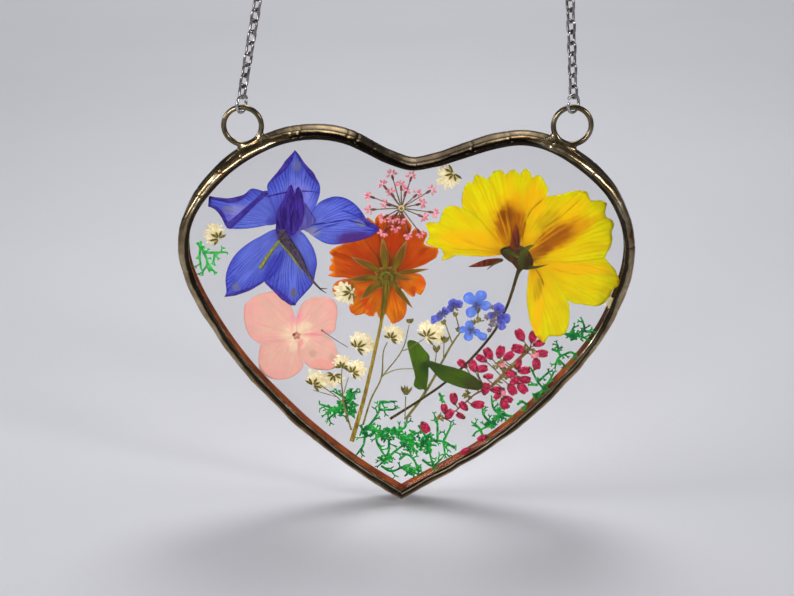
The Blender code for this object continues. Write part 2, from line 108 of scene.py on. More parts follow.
def finishPiece(obj, name, body, slot, *nodes, material=None):
    pickOnly(obj)
    bpy.ops.object.transform_apply(location=True, rotation=True, scale=True)
    obj.name = name
    obj.data.name = name
    if material:
        obj.data.materials.clear()
        obj.data.materials.append(material)
    bpy.ops.object.shade_smooth()
    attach(obj, body)
    if nodes:
        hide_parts(*nodes)
    return obj


# Curves

def curvePoint(before, start, end, after, t):
    return (
        start * 2
        + (end - before) * t
        + (before * 2 - start * 5 + end * 4 - after) * t**2
        + (start * 3 - before - end * 3 + after) * t**3
    ) / 2


def smoothLoop(points, steps, corners=()):
    points = [Vector(p) for p in points]
    count = len(points)
    loop = []
    for i in range(count):
        j = (i + 1) % count
        start, end = points[i], points[j]
        before = start * 2 - end if i in corners else points[i - 1]
        after = end * 2 - start if j in corners else points[(i + 2) % count]
        loop += [curvePoint(before, start, end, after, k / steps) for k in range(steps)]
    return loop


def smoothPath(points, steps):
    points = [Vector(p) for p in points]
    ends = [points[0] * 2 - points[1], *points, points[-1] * 2 - points[-2]]
    path = []
    for i in range(1, len(ends) - 2):
        path += [curvePoint(*ends[i - 1:i + 3], k / steps) for k in range(steps)]
    return [*path, points[-1]]


def evenLoop(loop, count):
    lengths = [(loop[(i + 1) % len(loop)] - loop[i]).length for i in range(len(loop))]
    step = sum(lengths) / count
    result, i, passed = [], 0, 0.0
    for k in range(count):
        while passed + lengths[i] < k * step:
            passed += lengths[i]
            i += 1
        result.append(loop[i].lerp(loop[(i + 1) % len(loop)], (k * step - passed) / lengths[i]))
    return result


def insetLoop(loop, distance):  # of a clockwise loop
    result = []
    for i, point in enumerate(loop):
        back = (point - loop[i - 1]).normalized()
        ahead = (loop[(i + 1) % len(loop)] - point).normalized()
        inward = Vector((back.y + ahead.y, -back.x - ahead.x)).normalized()
        result.append(point + inward * (distance / inward.dot(Vector((ahead.y, -ahead.x)))))
    return result


# Shader nodes

def addNode(tree, kind, inputs=None, **settings):
    node = tree.nodes.new(kind)
    for key, value in settings.items():
        setattr(node, key, value)
    for key, value in (inputs or {}).items():
        if isinstance(value, bpy.types.NodeSocket):
            tree.links.new(value, node.inputs[key])
        else:
            node.inputs[key].default_value = value
    return node


def calc(tree, operation, a, b=0.0):
    return addNode(tree, "ShaderNodeMath", {0: a, 1: b}, operation=operation).outputs[0]


def times(tree, a, b):
    return calc(tree, "MULTIPLY", a, b)


def plus(tree, a, b):
    return calc(tree, "ADD", a, b)


def minus(tree, a, b):
    return calc(tree, "SUBTRACT", a, b)


def apart(tree, vector):
    return addNode(tree, "ShaderNodeSeparateXYZ", {0: vector}).outputs


def uvOf(tree):
    return addNode(tree, "ShaderNodeUVMap", uv_map="UVMap").outputs[0]


def spread(tree, value, low, high, toLow=0.0, toHigh=1.0):
    sockets = {"Value": value, 1: low, 2: high, 3: toLow, 4: toHigh}
    return addNode(tree, "ShaderNodeMapRange", sockets, interpolation_type="SMOOTHSTEP").outputs[0]


def blendColours(tree, factor, a, b, mode="MIX"):
    a = (*a, 1) if isinstance(a, tuple) and len(a) == 3 else a
    b = (*b, 1) if isinstance(b, tuple) and len(b) == 3 else b
    sockets = {0: factor, 6: a, 7: b}
    return addNode(tree, "ShaderNodeMix", sockets, data_type="RGBA", blend_type=mode).outputs[2]


def ramp(tree, factor, stops):
    node = addNode(tree, "ShaderNodeValToRGB", {0: factor})
    elements = node.color_ramp.elements
    for i, (position, colour) in enumerate(stops):
        element = elements[i] if i < 2 else elements.new(position)
        element.position = position
        element.color = (*colour, 1)
    return node.outputs[0]


def pattern(tree, vector, scale, detail=3.0, rough=0.55, distortion=0.0):
    sockets = {
        "Vector": vector, "Scale": scale, "Detail": detail, "Roughness": rough, "Distortion": distortion}
    return addNode(tree, "ShaderNodeTexNoise", sockets).outputs[0]


def stretch(tree, vector, scale):
    return addNode(tree, "ShaderNodeMapping", {"Vector": vector, "Scale": scale}).outputs[0]


def bump(tree, height, distance, strength=0.6):
    sockets = {"Height": height, "Distance": distance, "Strength": strength}
    return addNode(tree, "ShaderNodeBump", sockets).outputs[0]


def startMaterial(name, colour=(0.8, 0.8, 0.8), rough=0.5, metal=0.0):
    material = bpy.data.materials.new(name)
    material.use_nodes = True
    tree = material.node_tree
    shader = tree.nodes["Principled BSDF"]
    shader.inputs["Base Color"].default_value = (*colour, 1)
    shader.inputs["Roughness"].default_value = rough
    shader.inputs["Metallic"].default_value = metal
    where = addNode(tree, "ShaderNodeTexCoord").outputs["Object"]
    return material, tree, shader, where


def feed(tree, shader, **sockets):
    for key, value in sockets.items():
        tree.links.new(value, shader.inputs[key.replace("_", " ")])


# Camera, lights and floor

shot = {  # places in millimetres, the nearest distance and the floor's size in metres
    "eye": (-2.63, 138.5, -369.7),
    "downTilt": 20.0,
    "sensor": 36,
    "focus": 1500 / 794 * 36,
    "nearest": 0.01,
    "floorZ": -54.6,
    "floorSize": 8,
    "floorColour": (0.68, 0.68, 0.72),
    "floorMottle": [(0.3, (0.65, 0.65, 0.69)), (0.7, (0.69, 0.69, 0.73))],
    "floorRough": 0.8,
    "lights": [
        # name, place and aim as (x, z, y), size, power and how wide it throws
        ("lampFront", (-260, 150, -600), (0, 0, 0), 200, 0.125, 44),
        ("lampLeft", (-520, 190, -60), (0, 0, 0), 160, 0.18, 90),
        ("lampRight", (480, 260, -360), (0, 10, 0), 130, 0.09, 50),
        ("lampOver", (60, 640, 300), (0, -20, 160), 300, 0.72, 110),
        ("lampBehind", (0, 1250, 1100), (0, -54, 1100), 1300, 8.2, 130),
    ],
    "room": (0.80, 0.82, 0.92),
    "roomLight": 0.14,
}


def setCamera():
    data = bpy.data.cameras.new("camera")
    data.lens = shot["focus"]
    data.sensor_width = shot["sensor"]
    data.clip_start = shot["nearest"]
    camera = bpy.data.objects.new("camera", data)
    bpy.context.collection.objects.link(camera)
    x, z, y = shot["eye"]
    camera.location = place(x, z, y)
    camera.rotation_euler = (math.radians(90 - shot["downTilt"]), 0, 0)
    bpy.context.scene.camera = camera


def setLights():
    for name, (x, z, y), (aimX, aimZ, aimY), size, power, throw in shot["lights"]:
        light = bpy.data.lights.new(name, "AREA")
        light.shape = "DISK"
        light.size = size * mm
        light.energy = power
        light.spread = math.radians(throw)
        lamp = bpy.data.objects.new(name, light)
        bpy.context.collection.objects.link(lamp)
        lamp.location = place(x, z, y)
        aim = place(aimX, aimZ, aimY) - lamp.location
        lamp.rotation_euler = aim.to_track_quat("-Z", "Y").to_euler()
    world = bpy.data.worlds.new("room")
    bpy.context.scene.world = world
    world.use_nodes = True
    background = world.node_tree.nodes["Background"]
    background.inputs["Color"].default_value = (*shot["room"], 1)
    background.inputs["Strength"].default_value = shot["roomLight"]
    bpy.context.scene.view_settings.view_transform = "Standard"


def layFloor():
    bpy.ops.object.select_all(action="DESELECT")
    bpy.ops.mesh.primitive_plane_add(size=shot["floorSize"], location=place(0, shot["floorZ"]))
    floor = bpy.context.object
    floor.name = "floor"
    material, tree, shader, where = startMaterial("paleFloor", shot["floorColour"], shot["floorRough"])
    mottle = pattern(tree, where, 3.0)
    feed(tree, shader, Base_Color=ramp(tree, mottle, shot["floorMottle"]))
    floor.data.materials.append(material)


setCamera()
setLights()
layFloor()
print("camera, lights and floor are set")


# Edge of the heart

heart = {
    "outline": [  # clockwise from the tip
        (-1.5, -54), (-14, -45.2), (-26.5, -34.8), (-35, -26), (-43.5, -16), (-51.5, -3.7), (-57.5, 9),
        (-59.2, 19), (-56.8, 28.5), (-50.5, 37), (-43, 43.4), (-33, 48.2), (-23, 49.7), (-14, 48.1),
        (-5, 43.2), (1.5, 41.1), (8, 42.4), (18, 46), (28, 48.2), (37, 46.4), (46.5, 40.6), (54, 32.8),
        (58.4, 22), (58.3, 10.5), (52.5, -5.5), (42.5, -19.5), (31.5, -31.3), (20, -40.5)],
    "edgePoints": 60,
    "beadWidth": 2.95,
    "glassHalf": 2.85,
    "cavityHalf": 0.95,
    "denseSteps": 18,
    "tipFan": 14,
    "outlineSteps": 6,
    "thinnest": 1.5,
    "thinPlaces": [  # place, how far it reaches and how deep
        (2, 40, 15, 1.15), (-26, 47, 14, 0.45), (27, 45, 14, 0.5), (-12, -42, 16, 0.35),
        (14, -40, 16, 0.35), (-42, -14, 16, 0.2), (42, -14, 16, 0.2)],
}


def thinning(point):
    # how far the inner lip draws back from its widest, by places along the edge
    amount = 0.0
    for x, z, wide, depth in heart["thinPlaces"]:
        amount += depth * math.exp(-((point.x - x) ** 2 + (point.y - z) ** 2) / wide ** 2)
    return min(amount, heart["thinnest"])


def railAlongEdge():
    # points under the bead's inner lip, each with its way outwards and how far a mitred tip reaches
    outline = smoothLoop(heart["outline"], heart["outlineSteps"], corners=(0,))
    inner = insetLoop(evenLoop(outline, heart["edgePoints"]), heart["beadWidth"])
    dense = smoothLoop(inner, heart["denseSteps"], corners=(0,))
    count = len(dense)
    points = []
    for i in range(1, count):
        ahead = (dense[(i + 1) % count] - dense[i - 1]).normalized()
        points.append((dense[i], Vector((-ahead.y, ahead.x)), 1.0))
    first = (dense[1] - dense[0]).normalized()
    last = (dense[0] - dense[-1]).normalized()
    before, after = Vector((-last.y, last.x)), Vector((-first.y, first.x))
    bend = math.atan2(before.y, before.x) - math.atan2(after.y, after.x)
    bend = abs((bend + math.pi) % math.tau - math.pi)
    for k in range(heart["tipFan"] + 1):  # the tip turns on one point
        share = k / heart["tipFan"]
        miter = 1 / math.cos(bend / 2 - bend * abs(0.5 - share))
        points.append((dense[0], before.lerp(after, share).normalized(), miter))
    return points


rail = railAlongEdge()


def sweepSection(section, lumps=None, sharpness=1.0):
    # a grid is wrapped round the rail, one way, and round the section, the other way
    columns, rows = len(rail), len(section)
    bpy.ops.object.select_all(action="DESELECT")
    bpy.ops.mesh.primitive_grid_add(x_subdivisions=columns, y_subdivisions=rows, size=1)
    obj = bpy.context.object
    for vertex in obj.data.vertices:
        i = round((vertex.co.x + 0.5) * columns) % columns
        j = round((vertex.co.y + 0.5) * rows) % rows
        point, outward, miter = rail[i]
        reach, y = section[j]
        reach += thinning(point) * (1 - min(1, reach / heart["beadWidth"]))
        if lumps:
            reach, y = lumps(point, reach, y)
        spot = point + outward * reach * (1 + (miter - 1) * sharpness)
        vertex.co = place(spot.x, spot.y, y)
    tidyMesh(obj)
    return obj


bead = {
    "frontHalf": [  # how far out from the inner lip, and how far from the middle plane
        (0.0, 2.94), (0.06, 3.16), (0.30, 3.45), (0.72, 3.68), (1.20, 3.76), (1.70, 3.66), (2.16, 3.38),
        (2.52, 2.98), (2.80, 2.46), (2.90, 1.95), (2.74, 1.30)],
    "backShift": 0.42,
    "sideReach": 2.62,
    "channelWall": 2.05,
    "channelHalf": 3.22,
    "wave": 0.26,
    "ripple": 0.035,
    "seams": [  # where the brush stopped, and how deep
        (-27.9, 48.3, 1.0), (-29.8, 48.0, 0.7), (-42.5, 42.4, 1.0), (-47.6, 38.6, 0.8), (-52.8, 32, 1.0),
        (-14.5, 47, 0.9), (-16.4, 47.4, 0.6), (-10.5, 45.4, 0.5), (18, 44.8, 0.9), (27, 46.8, 0.8),
        (37, 45.6, 1.0), (47.5, 39, 1.0), (57.4, 19.5, 0.9), (-24, -36.2, 0.7), (-46, -12, 0.8),
        (-56.3, 13, 0.9), (41, -20.5, 0.9), (14, -44.4, 0.6), (-33, -27.6, 0.7), (2.5, 41.4, 0.6),
        (51.3, -8, 0.8), (55.8, 2, 0.6)],
    "seamDepth": 0.20,
    "seamWidth": 0.17,
    "seamReach": 4,
    "lumpsFrom": (3.25, 2.1, 0.25),  # depth and reach past which the outside is lumpy, and how soon
    "lump": 0.16,
    "rim": 0.10,
    "backLumps": 0.6,
    "backRise": 0.75,  # the back bead stands higher along the top
    "backRiseFrom": 22,
    "backRiseOver": 16,
}


def beadSection():
    front = [(reach, -y) for reach, y in bead["frontHalf"]]
    shift, wide = bead["backShift"], heart["beadWidth"]
    back = [(shift + reach * (wide - shift) / wide, -y) for reach, y in reversed(front)]
    half, wall = bead["channelHalf"], bead["channelWall"]
    outside = smoothPath([*front, (bead["sideReach"], 0), *back], 2)
    inside = [(shift + 0.3, half), (wall, half), (wall, 0), (wall, -half), (0.3, -half)]
    return [*[tuple(point) for point in outside], *inside]


def beadLumps(point, reach, y):
    deep, far, soon = bead["lumpsFrom"]
    outer = clamped(max(abs(y) - deep, reach - far) / soon)
    at = Vector((point.x, point.y, y * 0.9 + reach))
    swell = bead["wave"] * noise.noise(at * 0.16)
    swell += bead["ripple"] * noise.noise(at * 0.8 + Vector((9, 3, 1)))
    swell += bead["lump"] * max(0, noise.noise(at * 0.33 + Vector((4, 4, 4))) - 0.15)
    rim = 1 - min(1, max(0, reach - 0.5) / 1.5)
    swell += bead["rim"] * rim * noise.noise(Vector((point.x, point.y, 40)) * 0.5)
    for x, z, length in bead["seams"]:
        seam = Vector((x, z))
        if (point - seam).length < bead["seamReach"]:
            slant = seam.normalized().orthogonal()
            across = (point - seam).dot(slant) + 0.12 * math.sin(reach * 3 + y)
            swell -= bead["seamDepth"] * length * math.exp(-(across / bead["seamWidth"]) ** 2)
    front = 1 if y < 0 else bead["backLumps"]
    if y > 0.3:
        along = clamped((point.y - bead["backRiseFrom"]) / bead["backRiseOver"])
        swell += bead["backRise"] * along * clamped(reach - 1.2)
    return reach + swell * outer * front, y * (1 + swell * 0.16 * outer * (y < 0.3))


patinaAndShadeColours = {
    "clouds": [(0.30, (0.17, 0.12, 0.065)), (0.50, (0.36, 0.28, 0.16)), (0.70, (0.66, 0.56, 0.38))],
    "rust": (0.20, 0.10, 0.04),
    "grime": (0.03, 0.026, 0.022),
    # the four colours below are painted shade and a painted dark reflection for the bead; the ones above are
    # patina, rust and grime
    "reflectionShade": (0.72, 0.62, 0.46),
    "cleftShade": (0.45, 0.45, 0.45),
    "darkReflection": (0.014, 0.011, 0.009),
    "grooveShade": (0.05, 0.035, 0.02),
}


def beadPaintedLight(tree, tone, where, streak):
    # painted light: the inner half of the front bead is painted black as a dark reflection, with a lighter
    # line left on the lip itself as a painted highlight
    turn = apart(tree, uvOf(tree))[1]
    turn = plus(tree, turn, times(tree, minus(tree, streak, 0.5), 0.10))
    spot = apart(tree, where)
    across, height = calc(tree, "ABSOLUTE", spot[0]), spot[2]
    # painted shade: the dark reflection band widens towards the bottom of the heart and at the cleft
    low = spread(tree, height, heartZ + 0.012, heartZ - 0.026)
    cleftShade = spread(tree, across, 0.038, 0.024)
    cleftShade = times(tree, cleftShade, spread(tree, height, heartZ, heartZ + 0.02))
    wider = plus(tree, times(tree, low, 0.045), times(tree, cleftShade, 0.12))
    shifted = minus(tree, turn, wider)
    # painted shade: the side and back of the bead, and its outer band low down, are darkened to dim their
    # reflections
    lowReflectionShade = times(tree, low, spread(tree, turn, 0.14, 0.19))
    reflectionShade = calc(tree, "MAXIMUM", spread(tree, turn, 0.22, 0.27), lowReflectionShade)
    reflectionDimmed = blendColours(tree, 1.0, tone, patinaAndShadeColours["reflectionShade"], "MULTIPLY")
    tone = blendColours(tree, reflectionShade, tone, reflectionDimmed)
    # painted shade: the bead is painted darker round the cleft
    darker = blendColours(tree, 1.0, tone, patinaAndShadeColours["cleftShade"], "MULTIPLY")
    tone = blendColours(tree, cleftShade, tone, darker)
    # painted dark reflection on the inner half of the front bead, widened low down and at the cleft
    darkReflection = minus(tree, spread(tree, turn, 0.035, 0.055), spread(tree, shifted, 0.13, 0.165))
    tone = blendColours(tree, times(tree, darkReflection, 0.93), tone, patinaAndShadeColours["darkReflection"])
    # painted shade in the groove between the front and back beads
    grooveShade = minus(tree, spread(tree, turn, 0.36, 0.42), spread(tree, turn, 0.46, 0.52))
    return blendColours(tree, times(tree, grooveShade, 0.6), tone, patinaAndShadeColours["grooveShade"])


def patinaAndShadeMaterial(name, lipped, shade=1.0):
    material, tree, shader, where = startMaterial(name, rough=0.2, metal=1.0)
    cloud = pattern(tree, where, 180, detail=4)
    grime = pattern(tree, where, 1500, detail=5, rough=0.7)
    streak = pattern(tree, where, 90, detail=2, distortion=1.5)
    tone = ramp(tree, cloud, patinaAndShadeColours["clouds"])
    tone = blendColours(tree, 1.0, tone, (shade, shade, shade), "MULTIPLY")
    tone = blendColours(tree, spread(tree, streak, 0.58, 0.72), tone, patinaAndShadeColours["rust"])
    tone = blendColours(tree, spread(tree, grime, 0.62, 0.74), tone, patinaAndShadeColours["grime"])
    rough = plus(tree, times(tree, grime, 0.24), 0.13)
    if lipped:
        tone = beadPaintedLight(tree, tone, where, streak)
    feed(tree, shader, Base_Color=tone, Roughness=rough, Normal=bump(tree, grime, 0.00006, 0.3))
    return material


patina = patinaAndShadeMaterial("bronzePatina", False, 0.55)
# the bead's finish adds painted reflection, highlight and shade to the patina
beadPatinaAndShade = patinaAndShadeMaterial("bronzePatinaAndShadeBead", True)


def makeBead():
    obj = sweepSection(beadSection(), beadLumps, sharpness=0.8)
    return finishPiece(obj, "solderBead", "panel", "solder", "solder_bead", material=beadPatinaAndShade)


foil = {
    "inner": 0.04, "innerBack": 0.36, "web": 1.68, "thick": 0.18, "half": 2.98,
    "copper": [(0.3, (0.13, 0.020, 0.004)), (0.55, (0.26, 0.048, 0.006)), (0.8, (0.40, 0.095, 0.012))],
    "stain": (0.020, 0.013, 0.009),  # high on the right
    "specular": 0.15,
}


def copperMaterial():
    material, tree, shader, where = startMaterial("copperFoil", rough=0.6, metal=0.2)
    cloud = pattern(tree, where, 220, detail=4)
    fine = pattern(tree, where, 1500, detail=3)
    tone = ramp(tree, cloud, foil["copper"])
    sides = apart(tree, where)
    # the copper is darker high up on the right side of the channel
    highUp = spread(tree, sides[2], heartZ - 0.020, heartZ - 0.006)
    stained = times(tree, spread(tree, sides[0], 0.040, 0.048), highUp)
    tone = blendColours(tree, times(tree, stained, 0.85), tone, foil["stain"])
    feed(tree, shader, Base_Color=tone, Roughness=spread(tree, fine, 0.2, 0.8, 0.5, 0.75))
    feed(tree, shader, Normal=bump(tree, cloud, 0.0002, 0.4))
    shader.inputs["Specular IOR Level"].default_value = foil["specular"]
    return material


def makeFoil():
    inner, back = foil["inner"], foil["innerBack"]
    web, thick, half = foil["web"], foil["thick"], foil["half"]
    section = [
        (inner, -half - thick), (web + thick, -half - thick), (web + thick, half + thick),
        (back, half + thick), (back, half), (web, half), (web, -half), (inner, -half)]
    obj = sweepSection(section)
    copper = copperMaterial()
    return finishPiece(obj, "copperFoil", "panel", "copper_foil", "copper_foil", material=copper)


glass = {"edge": 1.72, "colour": (0.945, 0.945, 0.945), "tint": (0.2, 0.2, 0.2, 1), "bends": 1.5}


def glassMaterial():
    material, tree, shader, where = startMaterial("clearGlass", glass["colour"], 0.0)
    shader.inputs["Transmission Weight"].default_value = 1.0
    shader.inputs["IOR"].default_value = glass["bends"]
    shader.inputs["Specular Tint"].default_value = glass["tint"]
    faint = pattern(tree, where, 30, detail=1)
    feed(tree, shader, Normal=bump(tree, faint, 0.00004, 0.15))
    return material


def makeGlass():
    material = glassMaterial()
    for name, node, front, back in (
        ("glassFront", "glass_front", -heart["glassHalf"], -heart["cavityHalf"]),
        ("glassBack", "glass_back", heart["cavityHalf"], heart["glassHalf"]),
    ):
        bpy.ops.object.select_all(action="DESELECT")
        bpy.ops.mesh.primitive_circle_add(vertices=len(rail), radius=0.05, fill_type="NGON")
        obj = bpy.context.object
        for vertex, (point, outward, miter) in zip(obj.data.vertices, rail):
            spot = point + outward * glass["edge"] * miter
            vertex.co = place(spot.x, spot.y, front)
        pickOnly(obj)
        bpy.ops.object.mode_set(mode="EDIT")
        bpy.ops.mesh.select_all(action="SELECT")
        move = {"value": (0, (back - front) * mm, 0)}
        bpy.ops.mesh.extrude_region_move(TRANSFORM_OT_translate=move)
        bpy.ops.mesh.select_all(action="SELECT")
        bpy.ops.mesh.quads_convert_to_tris(ngon_method="CLIP")
        bpy.ops.object.mode_set(mode="OBJECT")
        tidyMesh(obj)
        finishPiece(obj, name, "panel", "glass", node, material=material)
        bpy.ops.object.shade_flat()
        obj.visible_shadow = False  # lamps reach the flowers between the sheets


makeBead()
makeFoil()
makeGlass()
print("bead, foil and glass are made")


# Rings, jump rings and chain

wire = {
    "ringX": 41.5, "ringZ": 50.1, "ringRadius": 4.75, "ringWire": 0.72,
    "moundReach": 7.2, "moundRadius": 1.4, "moundOut": 2.2, "moundThins": 0.6,
    "gapUpTo": 3.1, "gapFill": 0.62, "voxel": 0.13, "melt": 30,
    "jumpRadius": 2.2, "jumpWire": 0.40, "jumpZ": 55.7, "jumpTurn": {"left": 62, "right": 45},
    "jumpGapAt": {"left": 20, "right": 150}, "jumpGap": 9, "jumpSlip": 0.5, "jumpSteps": 48,
    "topRadius": 3.95, "topWire": 0.55, "topZ": 93.3, "topX": {"left": -35.0, "right": 39.1},
    "links": 12, "linkHalfWidth": 1.42, "linkWire": 0.35, "linkTwist": 45,
    "routePoints": 14,
}


def drawWire(paths, resolution):
    # every path is a list of (point in metres, radius in millimetres)
    curve = bpy.data.curves.new("wire", "CURVE")
    curve.dimensions = "3D"
    curve.bevel_depth = mm
    curve.bevel_resolution = resolution
    curve.use_fill_caps = True
    for path in paths:
        spline = curve.splines.new("POLY")
        spline.points.add(len(path) - 1)
        for point, (spot, radius) in zip(spline.points, path):
            point.co = (*spot, 1)
            point.radius = radius
    obj = bpy.data.objects.new("wire", curve)
    bpy.context.collection.objects.link(obj)
    pickOnly(obj)
    bpy.ops.object.convert(target="MESH")
    return bpy.context.view_layer.objects.active


def stamp(template, matrices):
    # copies of one small mesh, joined
    copies = []
    for matrix in matrices:
        twin = template.copy()
        twin.data = template.data.copy()
        twin.data.transform(matrix)
        bpy.context.collection.objects.link(twin)
        copies.append(twin)
    bpy.data.objects.remove(template)
    return joinPieces("copies", copies)


def addTorus(x, z, radius, thick, segments=72, sides=16):
    bpy.ops.object.select_all(action="DESELECT")
    bpy.ops.mesh.primitive_torus_add(
        major_segments=segments, minor_segments=sides, major_radius=radius * mm, minor_radius=thick * mm,
        location=place(x, z), rotation=(math.pi / 2, 0, 0))
    return bpy.context.object


def addBall(x, z, radius):
    bpy.ops.object.select_all(action="DESELECT")
    bpy.ops.mesh.primitive_uv_sphere_add(
        segments=18, ring_count=12, radius=radius * mm, location=place(x, z))
    return bpy.context.object


def makeHangingRing(side, x):
    centre = Vector((x, wire["ringZ"]))
    foot = centre - Vector((0, wire["ringRadius"]))
    parts = [addTorus(x, wire["ringZ"], wire["ringRadius"], wire["ringWire"])]
    beadSpots = []
    for point, outward, miter in rail[::2]:
        spot = point + outward * wire["moundOut"]
        away = (spot - foot).length / wire["moundReach"]
        if away < 1:
            beadSpots.append(spot)
            radius = wire["moundRadius"] * (1 - wire["moundThins"] * away ** 2)
            parts.append(addBall(spot.x, spot.y, radius))
    for spot in beadSpots:
        # fill the narrow gap beside the foot, so that it flares out on both sides
        onRing = centre + (spot - centre).normalized() * wire["ringRadius"]
        gap = (spot - onRing).length
        if gap < wire["gapUpTo"]:
            radius = wire["gapFill"] + wire["gapFill"] * (1 - gap / wire["gapUpTo"])
            for t in (0.25, 0.5, 0.75):
                between = spot.lerp(onRing, t)
                parts.append(addBall(between.x, between.y, radius))
    ring = joinPieces("ring", parts)
    pickOnly(ring)
    bpy.ops.object.transform_apply(location=True, rotation=True, scale=True)
    useModifier(ring, "REMESH", mode="VOXEL", voxel_size=wire["voxel"] * mm)
    useModifier(ring, "SMOOTH", factor=0.5, iterations=wire["melt"])
    name = f"hangingRing{side.title()}"
    finishPiece(ring, name, "panel", "solder", f"hanging_ring_{side}", material=patina)


def makeJumpRing(side, x, material):
    turn = math.radians(wire["jumpTurn"][side])
    path = []
    steps = wire["jumpSteps"]
    gap = wire["jumpGap"]
    for k in range(steps + 1):
        angle = math.radians(wire["jumpGapAt"][side] + gap + (360 - 2 * gap) * k / steps)
        across, up = wire["jumpRadius"] * math.cos(angle), wire["jumpRadius"] * math.sin(angle)
        slip = wire["jumpSlip"] * (k / steps - 0.5)
        spot = place(
            x + across * math.cos(turn) - slip * math.sin(turn), wire["jumpZ"] + up,
            across * math.sin(turn) + slip * math.cos(turn))
        path.append((spot, wire["jumpWire"]))
    ring = drawWire([path], 4)
    tidyMesh(ring)
    name = f"jumpRing{side.title()}"
    finishPiece(ring, name, "hanger", "gunmetal_wire", f"jump_ring_{side}", material=material)


def makeChain(side, x, material):
    topX = wire["topX"][side]
    ring = addTorus(topX, wire["topZ"], wire["topRadius"], wire["topWire"])
    name = f"topRing{side.title()}"
    ring = finishPiece(ring, name, "hanger", "gunmetal_wire", f"top_ring_{side}", material=material)
    low = place(x, wire["jumpZ"] + wire["jumpRadius"] - wire["jumpWire"])
    high = place(topX, wire["topZ"] - wire["topRadius"] + wire["topWire"])
    along = high - low
    pitch = along.length / wire["links"]
    thick = wire["linkWire"] * mm
    bend = (wire["linkHalfWidth"] - wire["linkWire"]) * mm
    bpy.ops.object.select_all(action="DESELECT")
    bpy.ops.mesh.primitive_torus_add(
        major_segments=24, minor_segments=10, major_radius=bend, minor_radius=thick)
    link = bpy.context.object
    for vertex in link.data.vertices:  # the ring is drawn out to a link
        vertex.co.x += math.copysign(pitch / 2 + thick - bend, vertex.co.x)
    upright = along.to_track_quat("X", "Y").to_matrix().to_4x4()
    turns = []
    for k in range(wire["links"]):
        centre = low + along * ((k + 0.5) / wire["links"])
        twist = math.radians(wire["linkTwist"] if k % 2 else -wire["linkTwist"])
        turns.append(Matrix.Translation(centre) @ upright @ Matrix.Rotation(twist, 4, "X"))
    chain = stamp(link, turns)
    name = f"chain{side.title()}"
    finishPiece(chain, name, "hanger", "gunmetal_wire", f"chain_{side}", material=material)


def steelMaterial(name, dark, light, rough):
    material, tree, shader, where = startMaterial(name, rough=rough, metal=1.0)
    cloud = pattern(tree, where, 500, detail=4)
    scratch = pattern(tree, where, 2500, detail=3, rough=0.7)
    feed(tree, shader, Base_Color=ramp(tree, cloud, [(0.35, dark), (0.65, light)]))
    feed(tree, shader, Roughness=spread(tree, scratch, 0.3, 0.7, rough * 0.7, rough * 1.5))
    feed(tree, shader, Normal=bump(tree, scratch, 0.00003, 0.3))
    return material


gunmetal = steelMaterial("gunmetal", (0.20, 0.18, 0.18), (0.52, 0.49, 0.48), 0.2)
silver = steelMaterial("silverWire", (0.42, 0.42, 0.42), (0.68, 0.67, 0.66), 0.24)
for side, sign in (("left", -1), ("right", 1)):
    makeHangingRing(side, sign * wire["ringX"])
    makeJumpRing(side, sign * wire["ringX"], silver)
    makeChain(side, sign * wire["ringX"], gunmetal)
print("rings and chains are made")


# Pressed plants: shapes

press = {
    "steps": 8, "spokes": 96, "rings": 22, "bow": 0.78, "corners": (),
    "teeth": 0.0, "toothCount": 30, "ruffle": 0.0, "ruffles": 6, "wrinkle": 0.05,
    "lift": 0.0, "thick": 0.13,
    "ribbonSteps": 6, "ribbonThick": 0.10, "ribbonCup": 0.03,
    "outlinePerLobe": 4, "stemSteps": 5, "thinnestStem": 0.03,
    "weld": 0.000004,
}


def ripple(point, depth, fine):
    return noise.noise(Vector((point.x, point.y, depth)) * fine)


def pressPetal(outline, base, layer, **own):
    # a grid whose one side is drawn together at the base and whose far side is the margin
    how = {**press, **own}
    spokes, rings = how["spokes"], how["rings"]
    base = Vector(base)
    loop = evenLoop(smoothLoop(outline, how["steps"], how["corners"]), spokes)
    first = min(range(spokes), key=lambda i: (loop[i] - base).length)
    loop = loop[first:] + loop[:first]
    tip = max(loop, key=lambda point: (point - base).length)
    axis = (tip - base).normalized()
    side = Vector((-axis.y, axis.x))
    bpy.ops.object.select_all(action="DESELECT")
    bpy.ops.mesh.primitive_grid_add(x_subdivisions=spokes, y_subdivisions=rings, size=1)
    obj = bpy.context.object
    for vertex in obj.data.vertices:
        u, s = vertex.co.x + 0.5, vertex.co.y + 0.5
        edge = loop[round(u * spokes) % spokes]
        if how["teeth"]:
            away = (edge - base).length
            bite = abs(math.sin(u * how["toothCount"] * math.pi + 1.5 * ripple(edge, 3, 0.3)))
            edge = edge + (edge - base) * (-how["teeth"] * bite ** 0.7 / max(away, 1)) * min(1, away / 5)
        along, across = (edge - base).dot(axis), (edge - base).dot(side)
        spot = base + axis * along * s ** 1.1 + side * across * s ** how["bow"]
        wave = how["ruffle"] * s ** 2 * math.sin(math.tau * how["ruffles"] * u + 2 * ripple(spot, 0, 0.2))
        crease = how["wrinkle"] * noise.noise(Vector((spot.x * 0.45, spot.y * 0.45, layer * 5.0)))
        vertex.co = place(spot.x, spot.y, layerY(layer) + how["lift"] + wave + crease)
    tidyMesh(obj, merge=press["weld"])
    useModifier(obj, "SOLIDIFY", thickness=how["thick"] * mm, offset=0)
    return obj


